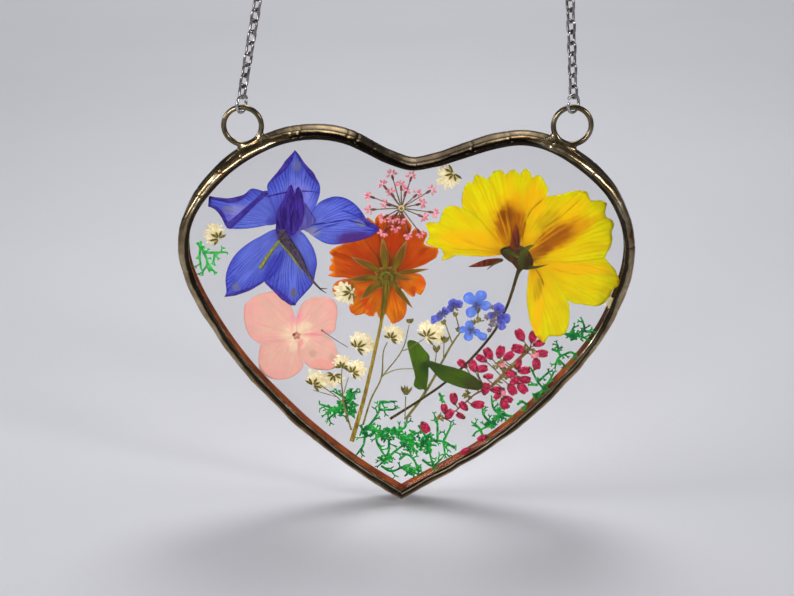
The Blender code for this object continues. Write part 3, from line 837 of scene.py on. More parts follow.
def spindle(start, end, width, layer, fullest=0.4, rings=6, spokes=24, **more):
    # a narrow leaf shape between two points
    start, end = Vector(start), Vector(end)
    ahead = end - start
    side = Vector((-ahead.y, ahead.x)).normalized() * width / 2
    outline = [
        start, start + ahead * 0.12 + side * 0.55, start + ahead * fullest + side,
        start + ahead * 0.78 + side * 0.55, end, start + ahead * 0.78 - side * 0.55,
        start + ahead * fullest - side, start + ahead * 0.12 - side * 0.55]
    return pressPetal(outline, start, layer, steps=4, spokes=spokes, rings=rings, corners=(0, 4), **more)


def ribbon(points, widths, layer, lift=0.0):
    # a flat strip along a path, for folded margins
    path = smoothPath(points, press["ribbonSteps"])
    last = len(path) - 1
    edges = []
    for i, point in enumerate(path):
        ahead = path[min(i + 1, last)] - path[max(i - 1, 0)]
        side = Vector((-ahead.y, ahead.x)).normalized()
        t = i / last * (len(widths) - 1)
        k = min(int(t), len(widths) - 2)
        edges.append((point, side, (widths[k] + (widths[k + 1] - widths[k]) * (t - k)) / 2))
    bpy.ops.object.select_all(action="DESELECT")
    bpy.ops.mesh.primitive_grid_add(x_subdivisions=4, y_subdivisions=last, size=1)
    obj = bpy.context.object
    for vertex in obj.data.vertices:
        point, side, half = edges[round((vertex.co.y + 0.5) * last)]
        across = vertex.co.x * 2
        spot = point + side * half * across
        vertex.co = place(spot.x, spot.y, layerY(layer) + lift + press["ribbonCup"] * across * across)
    tidyMesh(obj, merge=press["weld"])
    useModifier(obj, "SOLIDIFY", thickness=press["ribbonThick"] * mm, offset=0)
    return obj


def lobedOutline(centre, radius, lobes, notch, turn=0.0, uneven=0.0):
    centre = Vector(centre)
    count = lobes * press["outlinePerLobe"]
    outline = []
    for i in range(count):
        angle = turn + math.tau * i / count
        dip = abs(math.cos(lobes * (angle - turn) / 2)) ** 0.7
        reach = radius * (1 - notch + notch * dip) * (1 + random.uniform(-uneven, uneven))
        outline.append(centre + towards(angle) * reach)
    return outline


def pressStems(paths, layer, flat=0.6, resolution=2):
    # paths of (x, z, radius), flattened in their layer
    middle = layerY(layer)
    drawn = []
    for path in paths:
        points = smoothPath([Vector(point) for point in path], press["stemSteps"])
        drawn.append([(place(p.x, p.y, middle), max(p.z, press["thinnestStem"])) for p in points])
    obj = drawWire(drawn, resolution)
    for vertex in obj.data.vertices:
        vertex.co.y = (middle + (vertex.co.y / mm - middle) * flat) * mm
    return obj


# Pressed plants: finishes, with colours as red, green and blue up to 255

plantSpecular = 0.03


def linear(colour):  # from red, green and blue up to 255
    shares = [c / 255 for c in colour]
    return tuple(c / 12.92 if c <= 10 / 255 else ((c + 0.055) / 1.055) ** 2.4 for c in shares)


def inMillimetres(tree, where):
    sockets = {"Vector": where, "Scale": (1000, 1000, 1000), "Location": (0, 0, -heartZ * 1000)}
    return addNode(tree, "ShaderNodeMapping", sockets).outputs[0]


def blotch(tree, spot, grain, x, z, wide, tall, turn):
    # 1 inside an oval, 0 outside it, with a ragged edge
    sockets = {
        "Vector": spot, "Location": (x, 0, z), "Rotation": (0, math.radians(turn), 0),
        "Scale": (wide, 900, tall)}
    local = addNode(tree, "ShaderNodeMapping", sockets, vector_type="TEXTURE").outputs[0]
    away = addNode(tree, "ShaderNodeVectorMath", {0: local}, operation="LENGTH").outputs["Value"]
    return spread(tree, plus(tree, away, grain), 0.5, 1.2, 1.0, 0.0)


def lineMarks(points, half, colour, strength):
    # a fold or a vein drawn as thin ovals, end to end
    marks = []
    for (x1, z1), (x2, z2) in zip(points, points[1:]):
        reach = math.hypot(x2 - x1, z2 - z1) / 2
        turn = -math.degrees(math.atan2(z2 - z1, x2 - x1))
        marks.append(((x1 + x2) / 2, (z1 + z2) / 2, reach * 1.12, half, turn, colour, strength))
    return marks


def veinLines(tree, uv, count, width):
    # thin lines that fan out from the base of a petal
    wander = pattern(tree, stretch(tree, uv, (9, 3, 1)), 1.0, detail=2)
    counted = plus(tree, times(tree, apart(tree, uv)[0], count), times(tree, wander, 2.2))
    middle = calc(tree, "ABSOLUTE", minus(tree, calc(tree, "FRACT", counted), 0.5))
    fade = spread(tree, pattern(tree, stretch(tree, uv, (14, 2, 1)), 1.0, detail=1), 0.28, 0.5)
    return times(tree, spread(tree, middle, 0.5 - width, 0.5), fade)


def petalMaterial(name, stops, vein, veins=46, veinStrength=0.5, streak=0.45, margin=None, marks=(),
                  shade=0.8, veinWidth=0.24, veinCount=0):
    # stops run from the base of the petal to its margin; a mark with an eighth value is streaky
    material, tree, shader, where = startMaterial(name)
    spot = inMillimetres(tree, where)
    uv = uvOf(tree)
    along = apart(tree, uv)[1]
    vein = linear(vein)
    cloud = pattern(tree, spot, 0.32, detail=3)
    shifted = plus(tree, along, times(tree, minus(tree, cloud, 0.5), 0.25))
    tone = ramp(tree, shifted, [(position, linear(colour)) for position, colour in stops])
    darker = blendColours(tree, 1.0, tone, (shade, shade, shade), "MULTIPLY")
    tone = blendColours(tree, spread(tree, cloud, 0.42, 0.66), tone, darker)
    broad = pattern(tree, stretch(tree, uv, (veins, 1.6, 1)), 1.0, detail=3)
    streaks = spread(tree, broad, 0.44, 0.62)
    tone = blendColours(tree, times(tree, streaks, streak), tone, vein)
    lines = veinLines(tree, uv, veinCount or veins, veinWidth)
    tone = blendColours(tree, times(tree, lines, veinStrength), tone, vein)
    if margin:
        colour, width, strength = margin
        rim = spread(tree, plus(tree, along, times(tree, broad, 0.05)), 1.02 - width, 1.03)
        tone = blendColours(tree, times(tree, rim, strength), tone, linear(colour))
    if marks:
        grain = times(tree, minus(tree, pattern(tree, spot, 0.9, detail=4), 0.5), 0.8)
    for x, z, wide, tall, turn, colour, strength, *streaky in marks:
        mask = times(tree, blotch(tree, spot, grain, x, z, wide, tall, turn), strength)
        if streaky:
            mask = times(tree, mask, spread(tree, broad, 0.30, 0.53))
        tone = blendColours(tree, mask, tone, linear(colour))
    relief = bump(tree, minus(tree, broad, lines), 0.00012, 0.5)
    feed(tree, shader, Base_Color=tone, Normal=relief)
    shader.inputs["Specular IOR Level"].default_value = plantSpecular
    return material


def plainPlant(name, dark, light, scale=1.4, rough=0.55, grain=(1, 1, 1), specks=None):
    material, tree, shader, where = startMaterial(name, rough=rough)
    spot = stretch(tree, inMillimetres(tree, where), grain)
    cloud = pattern(tree, spot, scale, detail=4)
    tone = ramp(tree, cloud, [(0.36, linear(dark)), (0.64, linear(light))])
    if specks:
        speck = pattern(tree, spot, scale * 4, detail=2)
        tone = blendColours(tree, spread(tree, speck, 0.56, 0.66), tone, linear(specks))
    feed(tree, shader, Base_Color=tone, Normal=bump(tree, cloud, 0.0002, 0.5))
    shader.inputs["Specular IOR Level"].default_value = plantSpecular
    return material


def inMaterial(material, *objects):
    for obj in objects:
        obj.data.materials.clear()
        obj.data.materials.append(material)
    return list(objects)


def pressed(parts, name, slot, *nodes):
    return finishPiece(joinPieces(name, parts), name, "panel", slot, *nodes)


# Larkspur

violet = {
    "petal": [(0.0, (70, 66, 160)), (0.22, (98, 110, 202)), (0.7, (94, 108, 204)), (1.0, (66, 74, 184))],
    "vein": (30, 30, 124),
    "fold": (44, 32, 116),
    "foldLight": (68, 54, 148),
    "olive": (112, 112, 92),
    "line": (38, 30, 124),
}
larkspur = {
    "larkspurSepalTop": {
        "node": "larkspur_sepal_top", "layer": 1, "base": (-29.4, 22.6), "outline": [
            (-28.4, 44.1), (-30.0, 41.4), (-31.6, 39.0), (-33.3, 37.4), (-35.0, 36.0), (-35.7, 34.7),
            (-35.5, 33.0), (-34.8, 30.3), (-33.4, 26.9), (-31.6, 23.4), (-29.2, 22.6), (-26.6, 25.0),
            (-24.2, 27.9), (-22.7, 31.3), (-22.2, 33.7), (-22.6, 35.8), (-24.2, 38.1), (-26.1, 40.7),
            (-27.3, 42.7)],
        "corners": (0,),
        "folds": [
            ([(-28.4, 43.9), (-30.3, 40.9), (-32.0, 38.7), (-34.6, 36.2)], (0.2, 1.5, 1.2, 0.4)),
            ([(-28.4, 43.9), (-26.3, 40.4), (-24.3, 37.7), (-22.7, 35.2)], (0.2, 0.8, 1.4, 0.4))],
    },
    "larkspurSepalLeft": {
        "node": "larkspur_sepal_left", "layer": 2, "base": (-32.8, 25.6), "outline": [
            (-51.0, 29.1), (-50.7, 32.0), (-48.2, 31.4), (-45.9, 31.3), (-43.3, 31.8), (-41.6, 32.4),
            (-39.9, 33.8), (-38.3, 33.7), (-36.7, 33.2), (-35.0, 33.2), (-33.4, 31.0), (-32.4, 27.4),
            (-33.7, 24.5), (-37.6, 24.0), (-40.9, 23.3), (-43.6, 23.1), (-46.5, 23.3), (-47.2, 26.2),
            (-48.0, 27.9), (-49.2, 28.9)],
        "corners": (0, 1, 16),
        "folds": [
            ([(-50.4, 31.6), (-48.2, 31.1), (-45.4, 30.7), (-42.6, 31.4), (-40.6, 32.8)],
                (0.5, 0.9, 1.3, 1.1, 0.3)),
            ([(-35.9, 33.0), (-38.7, 30.5), (-41.8, 27.6), (-43.8, 25.7), (-46.2, 23.7)],
                (1.2, 1.2, 1.5, 1.7, 1.8)),
            ([(-50.7, 29.5), (-48.8, 28.5), (-47.4, 26.8), (-46.4, 24.1)], (0.5, 0.9, 1.1, 0.8))],
    },
    "larkspurSepalRight": {
        "node": "larkspur_sepal_right", "layer": 2, "base": (-26.0, 23.0), "outline": [
            (-27.1, 24.2), (-25.1, 26.9), (-22.7, 30.0), (-20.4, 31.3), (-18.1, 31.8), (-15.5, 31.2),
            (-13.2, 29.6), (-11.3, 27.2), (-10.3, 25.5), (-7.4, 23.3), (-9.0, 21.4), (-12.3, 20.0),
            (-15.7, 19.3), (-19.0, 18.9), (-21.3, 19.3), (-22.9, 20.4), (-24.5, 21.8), (-26.4, 22.6)],
        "corners": (9,),
        "folds": [([(-12.6, 27.4), (-10.4, 25.0), (-7.9, 23.2), (-9.3, 21.9)], (0.2, 1.1, 1.2, 0.3))],
    },
    "larkspurSepalLowerLeft": {
        "node": "larkspur_sepal_lower_left", "layer": 1, "base": (-32.6, 22.4), "outline": [
            (-33.0, 23.1), (-35.0, 22.8), (-37.7, 21.3), (-41.1, 19.3), (-43.8, 17.0), (-45.5, 14.8),
            (-46.8, 12.0), (-47.3, 9.2), (-47.2, 6.0), (-47.8, 4.6), (-44.9, 5.1), (-40.8, 6.7),
            (-37.4, 8.7), (-33.6, 12.4), (-31.9, 17.6), (-31.6, 21.6)],
        "corners": (9,),
        "folds": [([(-47.5, 4.9), (-44.9, 5.5), (-40.8, 7.0), (-37.6, 8.9)], (0.3, 0.9, 0.8, 0.3))],
    },
    "larkspurSepalLowerRight": {
        "node": "larkspur_sepal_lower_right", "layer": 2, "base": (-29.8, 22.4), "outline": [
            (-30.4, 23.1), (-32.5, 19.3), (-35.2, 15.9), (-37.5, 11.7), (-37.4, 9.4), (-36.5, 7.8),
            (-34.2, 6.4), (-32.9, 4.2), (-30.9, 2.4), (-29.3, 2.0), (-28.7, 3.2), (-26.5, 5.7),
            (-24.6, 8.1), (-23.9, 11.0), (-23.4, 13.8), (-23.9, 16.9), (-25.2, 19.7), (-27.2, 22.3)],
        "corners": (9,),
        "folds": [([(-37.0, 8.6), (-34.2, 6.2), (-32.2, 4.3), (-29.4, 2.4)], (0.4, 1.1, 1.5, 0.5))],
    },
}
violetMarks = [
    (-28.0, 40.0, 1.2, 1.8, 0, violet["olive"], 0.45),
    (-44.6, 7.4, 1.2, 1.2, 20, violet["olive"], 0.65, 1),
    (-29.6, 5.6, 1.0, 1.6, 0, (94, 90, 46), 0.9, 1),
    (-27.8, 32.0, 3.6, 4.6, 0, (136, 130, 214), 0.55, 1),
    (-12.2, 24.6, 1.9, 0.7, 25, (120, 118, 80), 0.7),
    (-44.4, 27.4, 4.2, 2.2, -20, (142, 138, 196), 0.6, 1),
    (-46.0, 28.4, 1.6, 1.0, 0, violet["olive"], 0.6),
    (-35.0, 25.0, 1.4, 1.4, 0, (58, 56, 150), 0.7),
    (-47.4, 26.0, 2.4, 3.4, 30, (84, 74, 176), 0.5),
    # painted shade where the two lower sepals overlap
    (-34.8, 12.8, 2.2, 5.4, 32, (50, 50, 156), 0.8),
    (-30.4, 27.4, 4.6, 6.0, 0, (64, 58, 168), 0.6),
    # painted see-through shade where the right sepal lies over the orange petals
    (-14.0, 20.5, 5.4, 2.4, -6, (70, 40, 116), 1.0),
    (-24.6, 22.4, 2.4, 1.4, 0, (150, 150, 150), 0.5),
    *lineMarks([(-24.5, 24.2), (-20.5, 24.8), (-15.6, 25.5), (-11.3, 24.5), (-8.0, 23.1)], 0.26,
        violet["line"], 0.95),
    *lineMarks([(-16.8, 28.3), (-12.9, 26.6), (-10.0, 24.5)], 0.2, violet["line"], 0.85),
    *lineMarks([(-24.2, 22.0), (-21.9, 23.3), (-17.9, 24.5)], 0.2, violet["line"], 0.8),
    *lineMarks([(-32.2, 17.6), (-35.0, 12.6), (-37.1, 9.4)], 0.2, violet["line"], 0.8),
]
violetPetal = petalMaterial(
    "violetPetal", violet["petal"], violet["vein"], veins=52, veinStrength=0.85, veinWidth=0.2, streak=0.3,
    veinCount=46, margin=(violet["fold"], 0.05, 0.6), marks=violetMarks, shade=0.88)
violetFold = plainPlant("violetFold", violet["fold"], violet["foldLight"], scale=0.8)
darkViolet = plainPlant("darkViolet", (34, 16, 88), (66, 44, 140), scale=0.55, grain=(2.8, 1, 0.6))
greyViolet = plainPlant("greyViolet", (66, 58, 132), (94, 88, 160), scale=0.8, grain=(2, 1, 0.6))
spurMaterial = plainPlant("spurSkin", (30, 18, 52), (74, 56, 84), scale=0.8, grain=(1.2, 1, 1.6),
                          specks=(116, 114, 70))
oliveStem = plainPlant("oliveStem", (80, 86, 30), (144, 146, 68), scale=1.2, grain=(2, 1, 0.6))
darkStem = plainPlant("darkStem", (32, 25, 9), (74, 60, 26), scale=1.2, grain=(2, 1, 0.6))
thinStalk = plainPlant("thinStalk", (86, 80, 28), (134, 126, 60), scale=1.5)


def makeLarkspur():
    for name, sepal in larkspur.items():
        petal = pressPetal(
            sepal["outline"], sepal["base"], sepal["layer"], corners=sepal["corners"], ruffle=0.03,
            wrinkle=0.09)
        parts = inMaterial(violetPetal, petal)
        for path, widths in sepal["folds"]:
            parts += inMaterial(violetFold, ribbon(path, widths, sepal["layer"], lift=-0.13))
        pressed(parts, name, "violet_petal", sepal["node"])
    body = pressPetal([
        (-29.5, 35.1), (-30.5, 33.2), (-31.3, 31.7), (-32.2, 30.1), (-33.3, 27.8), (-33.7, 24.8),
        (-33.7, 22.1), (-32.1, 20.4), (-29.8, 21.4), (-28.2, 22.8), (-26.9, 25.2), (-26.4, 28.2),
        (-26.5, 30.6), (-26.9, 33.0), (-27.9, 34.6), (-28.6, 32.6)],
        (-31.2, 21.4), 0, ruffle=0.07, ruffles=9, wrinkle=0.16, bow=0.9)
    veil = pressPetal([
        (-29.4, 22.2), (-28, 27), (-26.4, 30.2), (-25.2, 28.6), (-23.6, 25.6), (-25.1, 24.1), (-27.4, 23)],
        (-29.2, 22.4), 0, spokes=48, rings=12, wrinkle=0.12, lift=0.12)
    strands = [
        ribbon([(-31.8, 21.6), (-32.6, 26.6), (-30.9, 31.6), (-29.7, 34.6)],
               (0.6, 1.5, 1.0, 0.7), 0, lift=-0.12),
        ribbon([(-30.4, 22), (-29.8, 27), (-28.4, 31), (-27.9, 34.0)], (0.5, 1.0, 1.3, 0.9), 0, lift=-0.13),
        ribbon([(-29.4, 22.4), (-27.6, 26), (-27.2, 30)], (0.4, 0.9, 0.4), 0, lift=-0.12),
        ribbon([(-35.7, 31.9), (-33.4, 32.5), (-30.6, 33.1)], (0.5, 0.35, 0.4), 0, lift=0.1),
        ribbon([(-26.9, 33.4), (-24.6, 33.3), (-22.8, 33.0)], (0.35, 0.2, 0.1), 0, lift=0.1)]
    parts = inMaterial(darkViolet, body, *strands) + inMaterial(greyViolet, veil)
    pressed(parts, "larkspurPetals", "dark_violet_petal", "larkspur_petals")
    spur = pressStems([
        [(-32.4, 23.2, 0.9), (-31.9, 21.2, 1.45), (-30.5, 19.0, 1.25), (-28.6, 16.4, 1.0),
         (-26.4, 12.4, 0.6), (-24.8, 9.5, 0.36), (-22.6, 6.9, 0.24)],
        [(-22.8, 7.1, 0.2), (-20.8, 7.0, 0.09)], [(-22.8, 7.0, 0.2), (-21.1, 5.8, 0.1)]], 0, flat=0.22)
    path = [(-32.9, 19.8), (-30.6, 17.0), (-28.7, 14.2), (-27.0, 11.6)]
    edge = ribbon(path, (0.3, 0.6, 0.45, 0.12), 0, lift=-0.2)
    parts = inMaterial(spurMaterial, spur) + inMaterial(oliveStem, edge)
    pressed(parts, "larkspurSpur", "dark_violet_petal", "larkspur_spur")
    pedicel = pressStems([[(-33.0, 20.2, 0.42), (-35.9, 16.2, 0.5), (-38.2, 12.6, 0.54)]], 0, flat=0.35)
    pressed(inMaterial(oliveStem, pedicel), "larkspurPedicel", "olive_stem", "larkspur_pedicel")


makeLarkspur()
print("larkspur is pressed")


# Orange cosmos

orange = {
    "petals": {  # name: node, layer, kind, sharp points, outline
        "orangePetalLeft": ("orange_petal_left", 3, "deep", (3, 5, 6, 8, 11, 12), [
            (-6.5, 11.2), (-10.7, 10.1), (-14.5, 9.5), (-17.0, 9.8), (-19.2, 9.9), (-20.8, 10.3),
            (-19.2, 11.2), (-20.3, 11.8), (-20.4, 12.6), (-19.5, 13.8), (-20.0, 14.6), (-19.1, 15.3),
            (-20.2, 16.4), (-20.0, 17.1), (-18.1, 18.3), (-15.1, 19.6), (-12.1, 20.6), (-9.7, 18.0)]),
        "orangePetalTop": ("orange_petal_top", 4, "deep", (3, 5, 8, 10, 12), [
            (-5.7, 12.0), (-9.2, 15.2), (-11.5, 18.4), (-12.2, 21.6), (-10.6, 25.8), (-9.2, 25.4),
            (-8.3, 24.7), (-8.2, 25.8), (-7.5, 26.7), (-6.5, 26.9), (-6.1, 26.3), (-5.2, 27.0),
            (-4.4, 26.5), (-3.2, 26.9), (-2.0, 26.7), (-0.9, 26.9), (-0.2, 25.8), (0.6, 24.7), (1.2, 23.2),
            (-0.3, 19.6), (-3.3, 15.4)]),
        "orangePetalTopRight": ("orange_petal_top_right", 3, "deep", (8, 11, 12, 13), [
            (-4.2, 11.4), (-3.4, 14.2), (-1.8, 17.4), (0.5, 20.6), (1.8, 23.0), (2.7, 23.2), (3.8, 22.4),
            (4.9, 22.3), (5.3, 21.4), (4.4, 19.2), (5.9, 18.3), (8.1, 17.9), (8.2, 16.8), (7.6, 15.2),
            (4.7, 13.4), (2.2, 12.5), (-0.8, 11.7)]),
        "orangePetalLowerRight": ("orange_petal_lower_right", 4, "light", (6, 8, 9, 10), [
            (-3.6, 10.1), (-0.3, 10.5), (1.7, 10.8), (3.5, 10.5), (4.7, 9.1), (5.0, 7.7), (4.5, 6.1),
            (3.6, 4.8), (2.8, 5.1), (1.9, 6.9), (2.3, 4.8), (1.7, 4.2), (0.5, 4.8), (-1.3, 7.0)]),
        "orangePetalBottom": ("orange_petal_bottom", 3, "light", (7, 10, 11, 15, 16), [
            (-5.2, 8.8), (-2.8, 7.2), (-1.3, 6.1), (-0.4, 4.3), (0.0, 2.1), (-0.2, 0.0), (-0.9, -1.6),
            (-2.2, -2.7), (-4.0, -3.2), (-4.7, -1.9), (-5.6, -0.4), (-6.3, -1.1), (-7.2, -1.8),
            (-7.8, -0.5), (-8.1, 0.1), (-8.8, -1.1), (-10.1, -1.0), (-11.1, -0.1), (-10.3, 3.5),
            (-7.8, 6.9)]),
        "orangePetalLowerLeft": ("orange_petal_lower_left", 4, "light", (4, 10, 11, 15), [
            (-6.3, 9.3), (-8.6, 6.1), (-9.6, 2.7), (-10.8, -0.1), (-12.3, -0.8), (-13.6, -0.9), (-14.8, -0.1),
            (-15.3, 1.3), (-14.6, 2.4), (-14.4, 3.8), (-16.3, 4.3), (-18.7, 4.4), (-19.3, 4.9), (-19.6, 6.4),
            (-19.0, 8.0), (-17.7, 8.9), (-15.2, 9.4), (-10.7, 10.0)]),
    },
    "heart": (-5.4, 9.9),
    "bracts": [  # tip, foot and width
        ((-14.7, 15.6), (-7.0, 11.5), 1.9), ((-6.3, 20.8), (-5.6, 11.9), 2.3),
        ((0.0, 20.1), (-3.6, 11.8), 2.4), ((5.7, 12.2), (-2.9, 11.0), 1.3),
        ((1.4, 9.2), (-3.2, 10.0), 1.1), ((1.5, 1.3), (-3.8, 8.3), 1.5),
        ((-12.5, 3.5), (-7.2, 8.8), 2.2), ((-15.7, 9.3), (-7.4, 10.0), 1.9)],
    "innerReach": 4.0,
    "insideReach": 5.3,
    "neck": [(-5.3, 9.4, 1.2), (-5.4, 7.4, 1.08), (-5.7, 4.6, 0.84), (-6.2, 1.2, 0.62), (-7.0, -3.4, 0.3)],
    "stem": [(-5.8, 3.2, 0.5), (-6.9, -3.2, 0.43), (-9.5, -15.5, 0.48), (-11.3, -23.6, 0.52),
             (-12.6, -28.6, 0.56), (-14.9, -37.0, 0.66)],
}
orangeDeep = petalMaterial(
    "orangePetal", [(0.0, (112, 50, 4)), (0.35, (174, 60, 2)), (0.8, (194, 78, 2)), (1.0, (204, 94, 6))],
    (136, 32, 2), veins=44, veinStrength=0.65, streak=0.65, shade=0.7, margin=((226, 118, 18), 0.06, 0.7),
    marks=[(-9.4, 24.4, 1.2, 2.4, 0, (216, 122, 20), 0.8), (-6.4, 25.6, 1.6, 1.4, 0, (220, 120, 18), 0.6),
           (-19.6, 12, 1.2, 3.2, 0, (226, 116, 14), 0.6), (-3.4, 18.6, 1.4, 4.6, 0, (166, 34, 2), 0.7, 1),
           (-5.5, 13.4, 4.6, 4.2, 0, (112, 66, 10), 0.5), (-12.4, 16.2, 5.4, 0.8, 30, (158, 44, 4), 0.7),
           *lineMarks([(-8.4, 14), (-9.4, 18), (-9.6, 22)], 0.2, (140, 60, 6), 0.8),
           *lineMarks([(-3.6, 14), (-1.2, 18), (1.2, 22)], 0.2, (120, 30, 2), 0.9),
           *lineMarks([(-7.8, 17), (-8.1, 21), (-8.1, 24.6)], 0.16, (150, 50, 4), 0.7)])
orangeLight = petalMaterial(
    "paleOrangePetal",
    [(0.0, (120, 56, 8)), (0.3, (190, 78, 6)), (0.6, (214, 116, 8)), (1.0, (224, 134, 12))],
    (164, 54, 4), veins=36, veinStrength=0.65, streak=0.6, shade=0.72, margin=((206, 84, 10), 0.07, 0.6),
    marks=[(-11.2, 3.4, 1.2, 4.2, -28, (196, 58, 4), 0.85), (3.4, 8.4, 1.4, 2.4, 0, (206, 84, 6), 0.7),
           (1.6, 6.0, 1.0, 1.6, 0, (176, 48, 6), 0.8),
           *lineMarks([(-5.6, 4.5), (-5.5, -0.4)], 0.18, (150, 66, 8), 0.8),
           *lineMarks([(-2.8, 4.8), (-1.6, 1.4), (-1.2, -1.6)], 0.12, (150, 66, 8), 0.7),
           *lineMarks([(-8.8, 5.3), (-12.3, 1.3)], 0.14, (130, 52, 8), 0.7)])
bractSkin = petalMaterial(
    "bract", [(0.0, (134, 124, 24)), (0.45, (124, 100, 16)), (0.8, (112, 80, 18)), (1.0, (150, 98, 44))],
    (70, 50, 8), veins=14, veinStrength=0.5, streak=0.6, margin=((170, 122, 66), 0.16, 0.75))
greenRim = plainPlant("greenRim", (84, 82, 22), (128, 122, 42), scale=1.6)
discSkin = plainPlant("discSkin", (56, 44, 10), (112, 94, 26), scale=1.6)
neckSkin = plainPlant("neckSkin", (74, 60, 8), (122, 104, 26), scale=1.1, grain=(3, 1, 0.3))
strawStem = plainPlant("strawStem", (98, 78, 16), (160, 134, 44), scale=1.1, grain=(3, 1, 0.3),
                       specks=(176, 154, 66))


def makeOrangeCosmos():
    for name, (node, layer, kind, sharp, outline) in orange["petals"].items():
        parts = [pressPetal(
            outline, outline[0], layer, spokes=128, teeth=0.12, ruffle=0.05, ruffles=9, wrinkle=0.12,
            corners=sharp)]
        if name == "orangePetalTop":
            inside = lobedOutline(orange["heart"], orange["insideReach"], 8, 0.1)
            parts.append(pressPetal(inside, orange["heart"], layer, lift=0.1))
        parts = inMaterial(orangeDeep if kind == "deep" else orangeLight, *parts)
        pressed(parts, name, "orange_petal", node)
    heartOf = Vector(orange["heart"])
    parts = []
    for k, (tip, foot, width) in enumerate(orange["bracts"]):
        parts.append(spindle(foot, tip, width, 2, fullest=0.4, rings=8, spokes=32, lift=-0.04 * (k % 2)))
    for k in range(8):
        angle = math.tau * (k + 0.15) / 8
        reach = orange["innerReach"] * (1 + 0.15 * math.sin(3 * k))
        tip = heartOf + towards(angle) * reach
        parts.append(spindle(heartOf, tip, 2.2, 2, fullest=0.6, lift=0.09 + 0.02 * (k % 2)))
    parts = inMaterial(bractSkin, *parts)
    disc = pressPetal(lobedOutline(heartOf, 1.9, 9, 0.1), heartOf, 2, spokes=36, rings=8, bow=1, lift=-0.12)
    parts += inMaterial(discSkin, disc)
    ring = addTorus(heartOf.x, heartOf.y, 1.5, 0.32, 30, 8)
    pickOnly(ring)
    bpy.ops.object.transform_apply(location=True, rotation=True, scale=True)
    for vertex in ring.data.vertices:
        vertex.co.y = vertex.co.y * 0.5 - 0.16 * mm
    parts += inMaterial(greenRim, ring)
    pressed(parts, "orangeCalyx", "olive_stem", "orange_calyx")
    parts = inMaterial(strawStem, pressStems([orange["stem"]], 1, flat=0.26, resolution=4))
    parts += inMaterial(neckSkin, pressStems([orange["neck"]], 1, flat=0.27, resolution=4))
    pressed(parts, "orangeStem", "olive_stem", "orange_stem")


makeOrangeCosmos()
print("orange cosmos is pressed")


# Yellow cosmos

yellow = {
    "petals": {  # name: node, layer, sharp points, outline
        "yellowPetalLeft": ("yellow_petal_left", 2, (8, 11), [
            (24.6, 16.3), (20.8, 16.0), (17.2, 16.3), (12.4, 17.2), (11.0, 16.7), (9.4, 16.4), (8.8, 17.6),
            (6.7, 18.3), (4.6, 19.2), (5.5, 20.7), (5.4, 22.6), (4.6, 24.1), (5.5, 24.9), (8.0, 24.9),
            (8.7, 26.8), (9.7, 28.8), (11.6, 29.3), (14.1, 28.7), (17.7, 26.4), (21.4, 21.8),
            (24.6, 18.0)]),
        "yellowPetalUpperLeft": ("yellow_petal_upper_left", 3, (8, 9, 11, 15, 18, 20, 22), [
            (26.6, 16.8), (23.6, 19.9), (20.7, 23.0), (17.0, 26.0), (14.1, 29.0), (14.0, 31.6),
            (14.4, 33.9), (15.4, 35.4), (16.6, 35.3), (17.2, 37.7), (19.3, 36.8), (20.4, 36.2),
            (21.8, 38.1), (23.3, 38.7), (24.4, 38.3), (24.8, 37.3), (26.1, 38.5), (27.5, 38.7),
            (28.7, 37.3), (29.1, 38.3), (30.0, 39.2), (31.1, 38.3), (31.8, 36.6), (32.9, 37.3),
            (34.0, 37.1), (34.9, 35.7), (36.0, 33.1), (34.2, 28.3), (30.8, 21.5)]),
        "yellowPetalUpperRight": ("yellow_petal_upper_right", 2, (11, 13, 15, 17, 19), [
            (29.6, 15.8), (29.8, 19.9), (29.9, 23.0), (30.4, 25.6), (31.7, 28.3), (34.2, 30.7), (35.7, 31.8),
            (37.7, 32.1), (39.1, 32.4), (41.6, 33.1), (43.8, 33.4), (46.0, 33.1), (46.5, 31.6), (47.1, 30.7),
            (49.3, 30.8), (51.2, 30.1), (50.8, 27.9), (51.0, 26.4), (52.8, 25.4), (53.3, 24.1), (52.7, 22.2),
            (53.0, 20.7), (52.7, 18.4), (51.7, 16.5), (50.6, 15.0), (45.2, 15.2), (37.9, 15.4)]),
        "yellowPetalRight": ("yellow_petal_right", 3, (7, 9), [
            (31.6, 15.0), (37.9, 16.6), (44.1, 16.8), (50.6, 15.6), (52.7, 13.5), (54.2, 11.9), (55.1, 9.8),
            (55.9, 8.0), (54.4, 6.8), (53.6, 6.1), (53.1, 4.1), (51.0, 2.1), (48.8, 1.8), (45.8, 2.3),
            (42.9, 2.9), (39.4, 6.1), (35.0, 10.7)]),
        "yellowPetalLower": ("yellow_petal_lower", 2, (7, 8), [
            (32.2, 13.4), (31.8, 8.0), (31.3, 4.5), (31.8, 0.2), (32.7, -3.4), (33.9, -6.2), (35.1, -7.6),
            (36.5, -8.6), (37.3, -6.6), (39.1, -6.6), (40.6, -6.5), (42.0, -5.4), (42.7, -2.6), (42.7, 1.0),
            (42.1, 3.3), (40.5, 6.5), (37.8, 10.0), (34.2, 13.2)]),
    },
    "greenBracts": [
        ([(24.2, 17.2), (25.8, 17.2), (27.4, 16.4), (28.8, 15.6)], (0.7, 1.4, 1.0, 0.4), -0.16),
        ([(30.4, 12.5), (29.5, 14.2), (29.8, 16.1), (30.9, 18.0), (32.8, 19.0)],
         (1.0, 1.7, 1.5, 1.2, 0.2), -0.2),
        ([(30.6, 12.6), (33.7, 12.9), (36.4, 13.6)], (0.9, 0.6, 0.1), -0.12),
        ([(24.8, 14.8), (22.3, 13.5), (20.8, 12.2)], (0.6, 0.4, 0.15), -0.04)],
    "gold": (226, 170, 4),
    "line": (120, 66, 4),
}
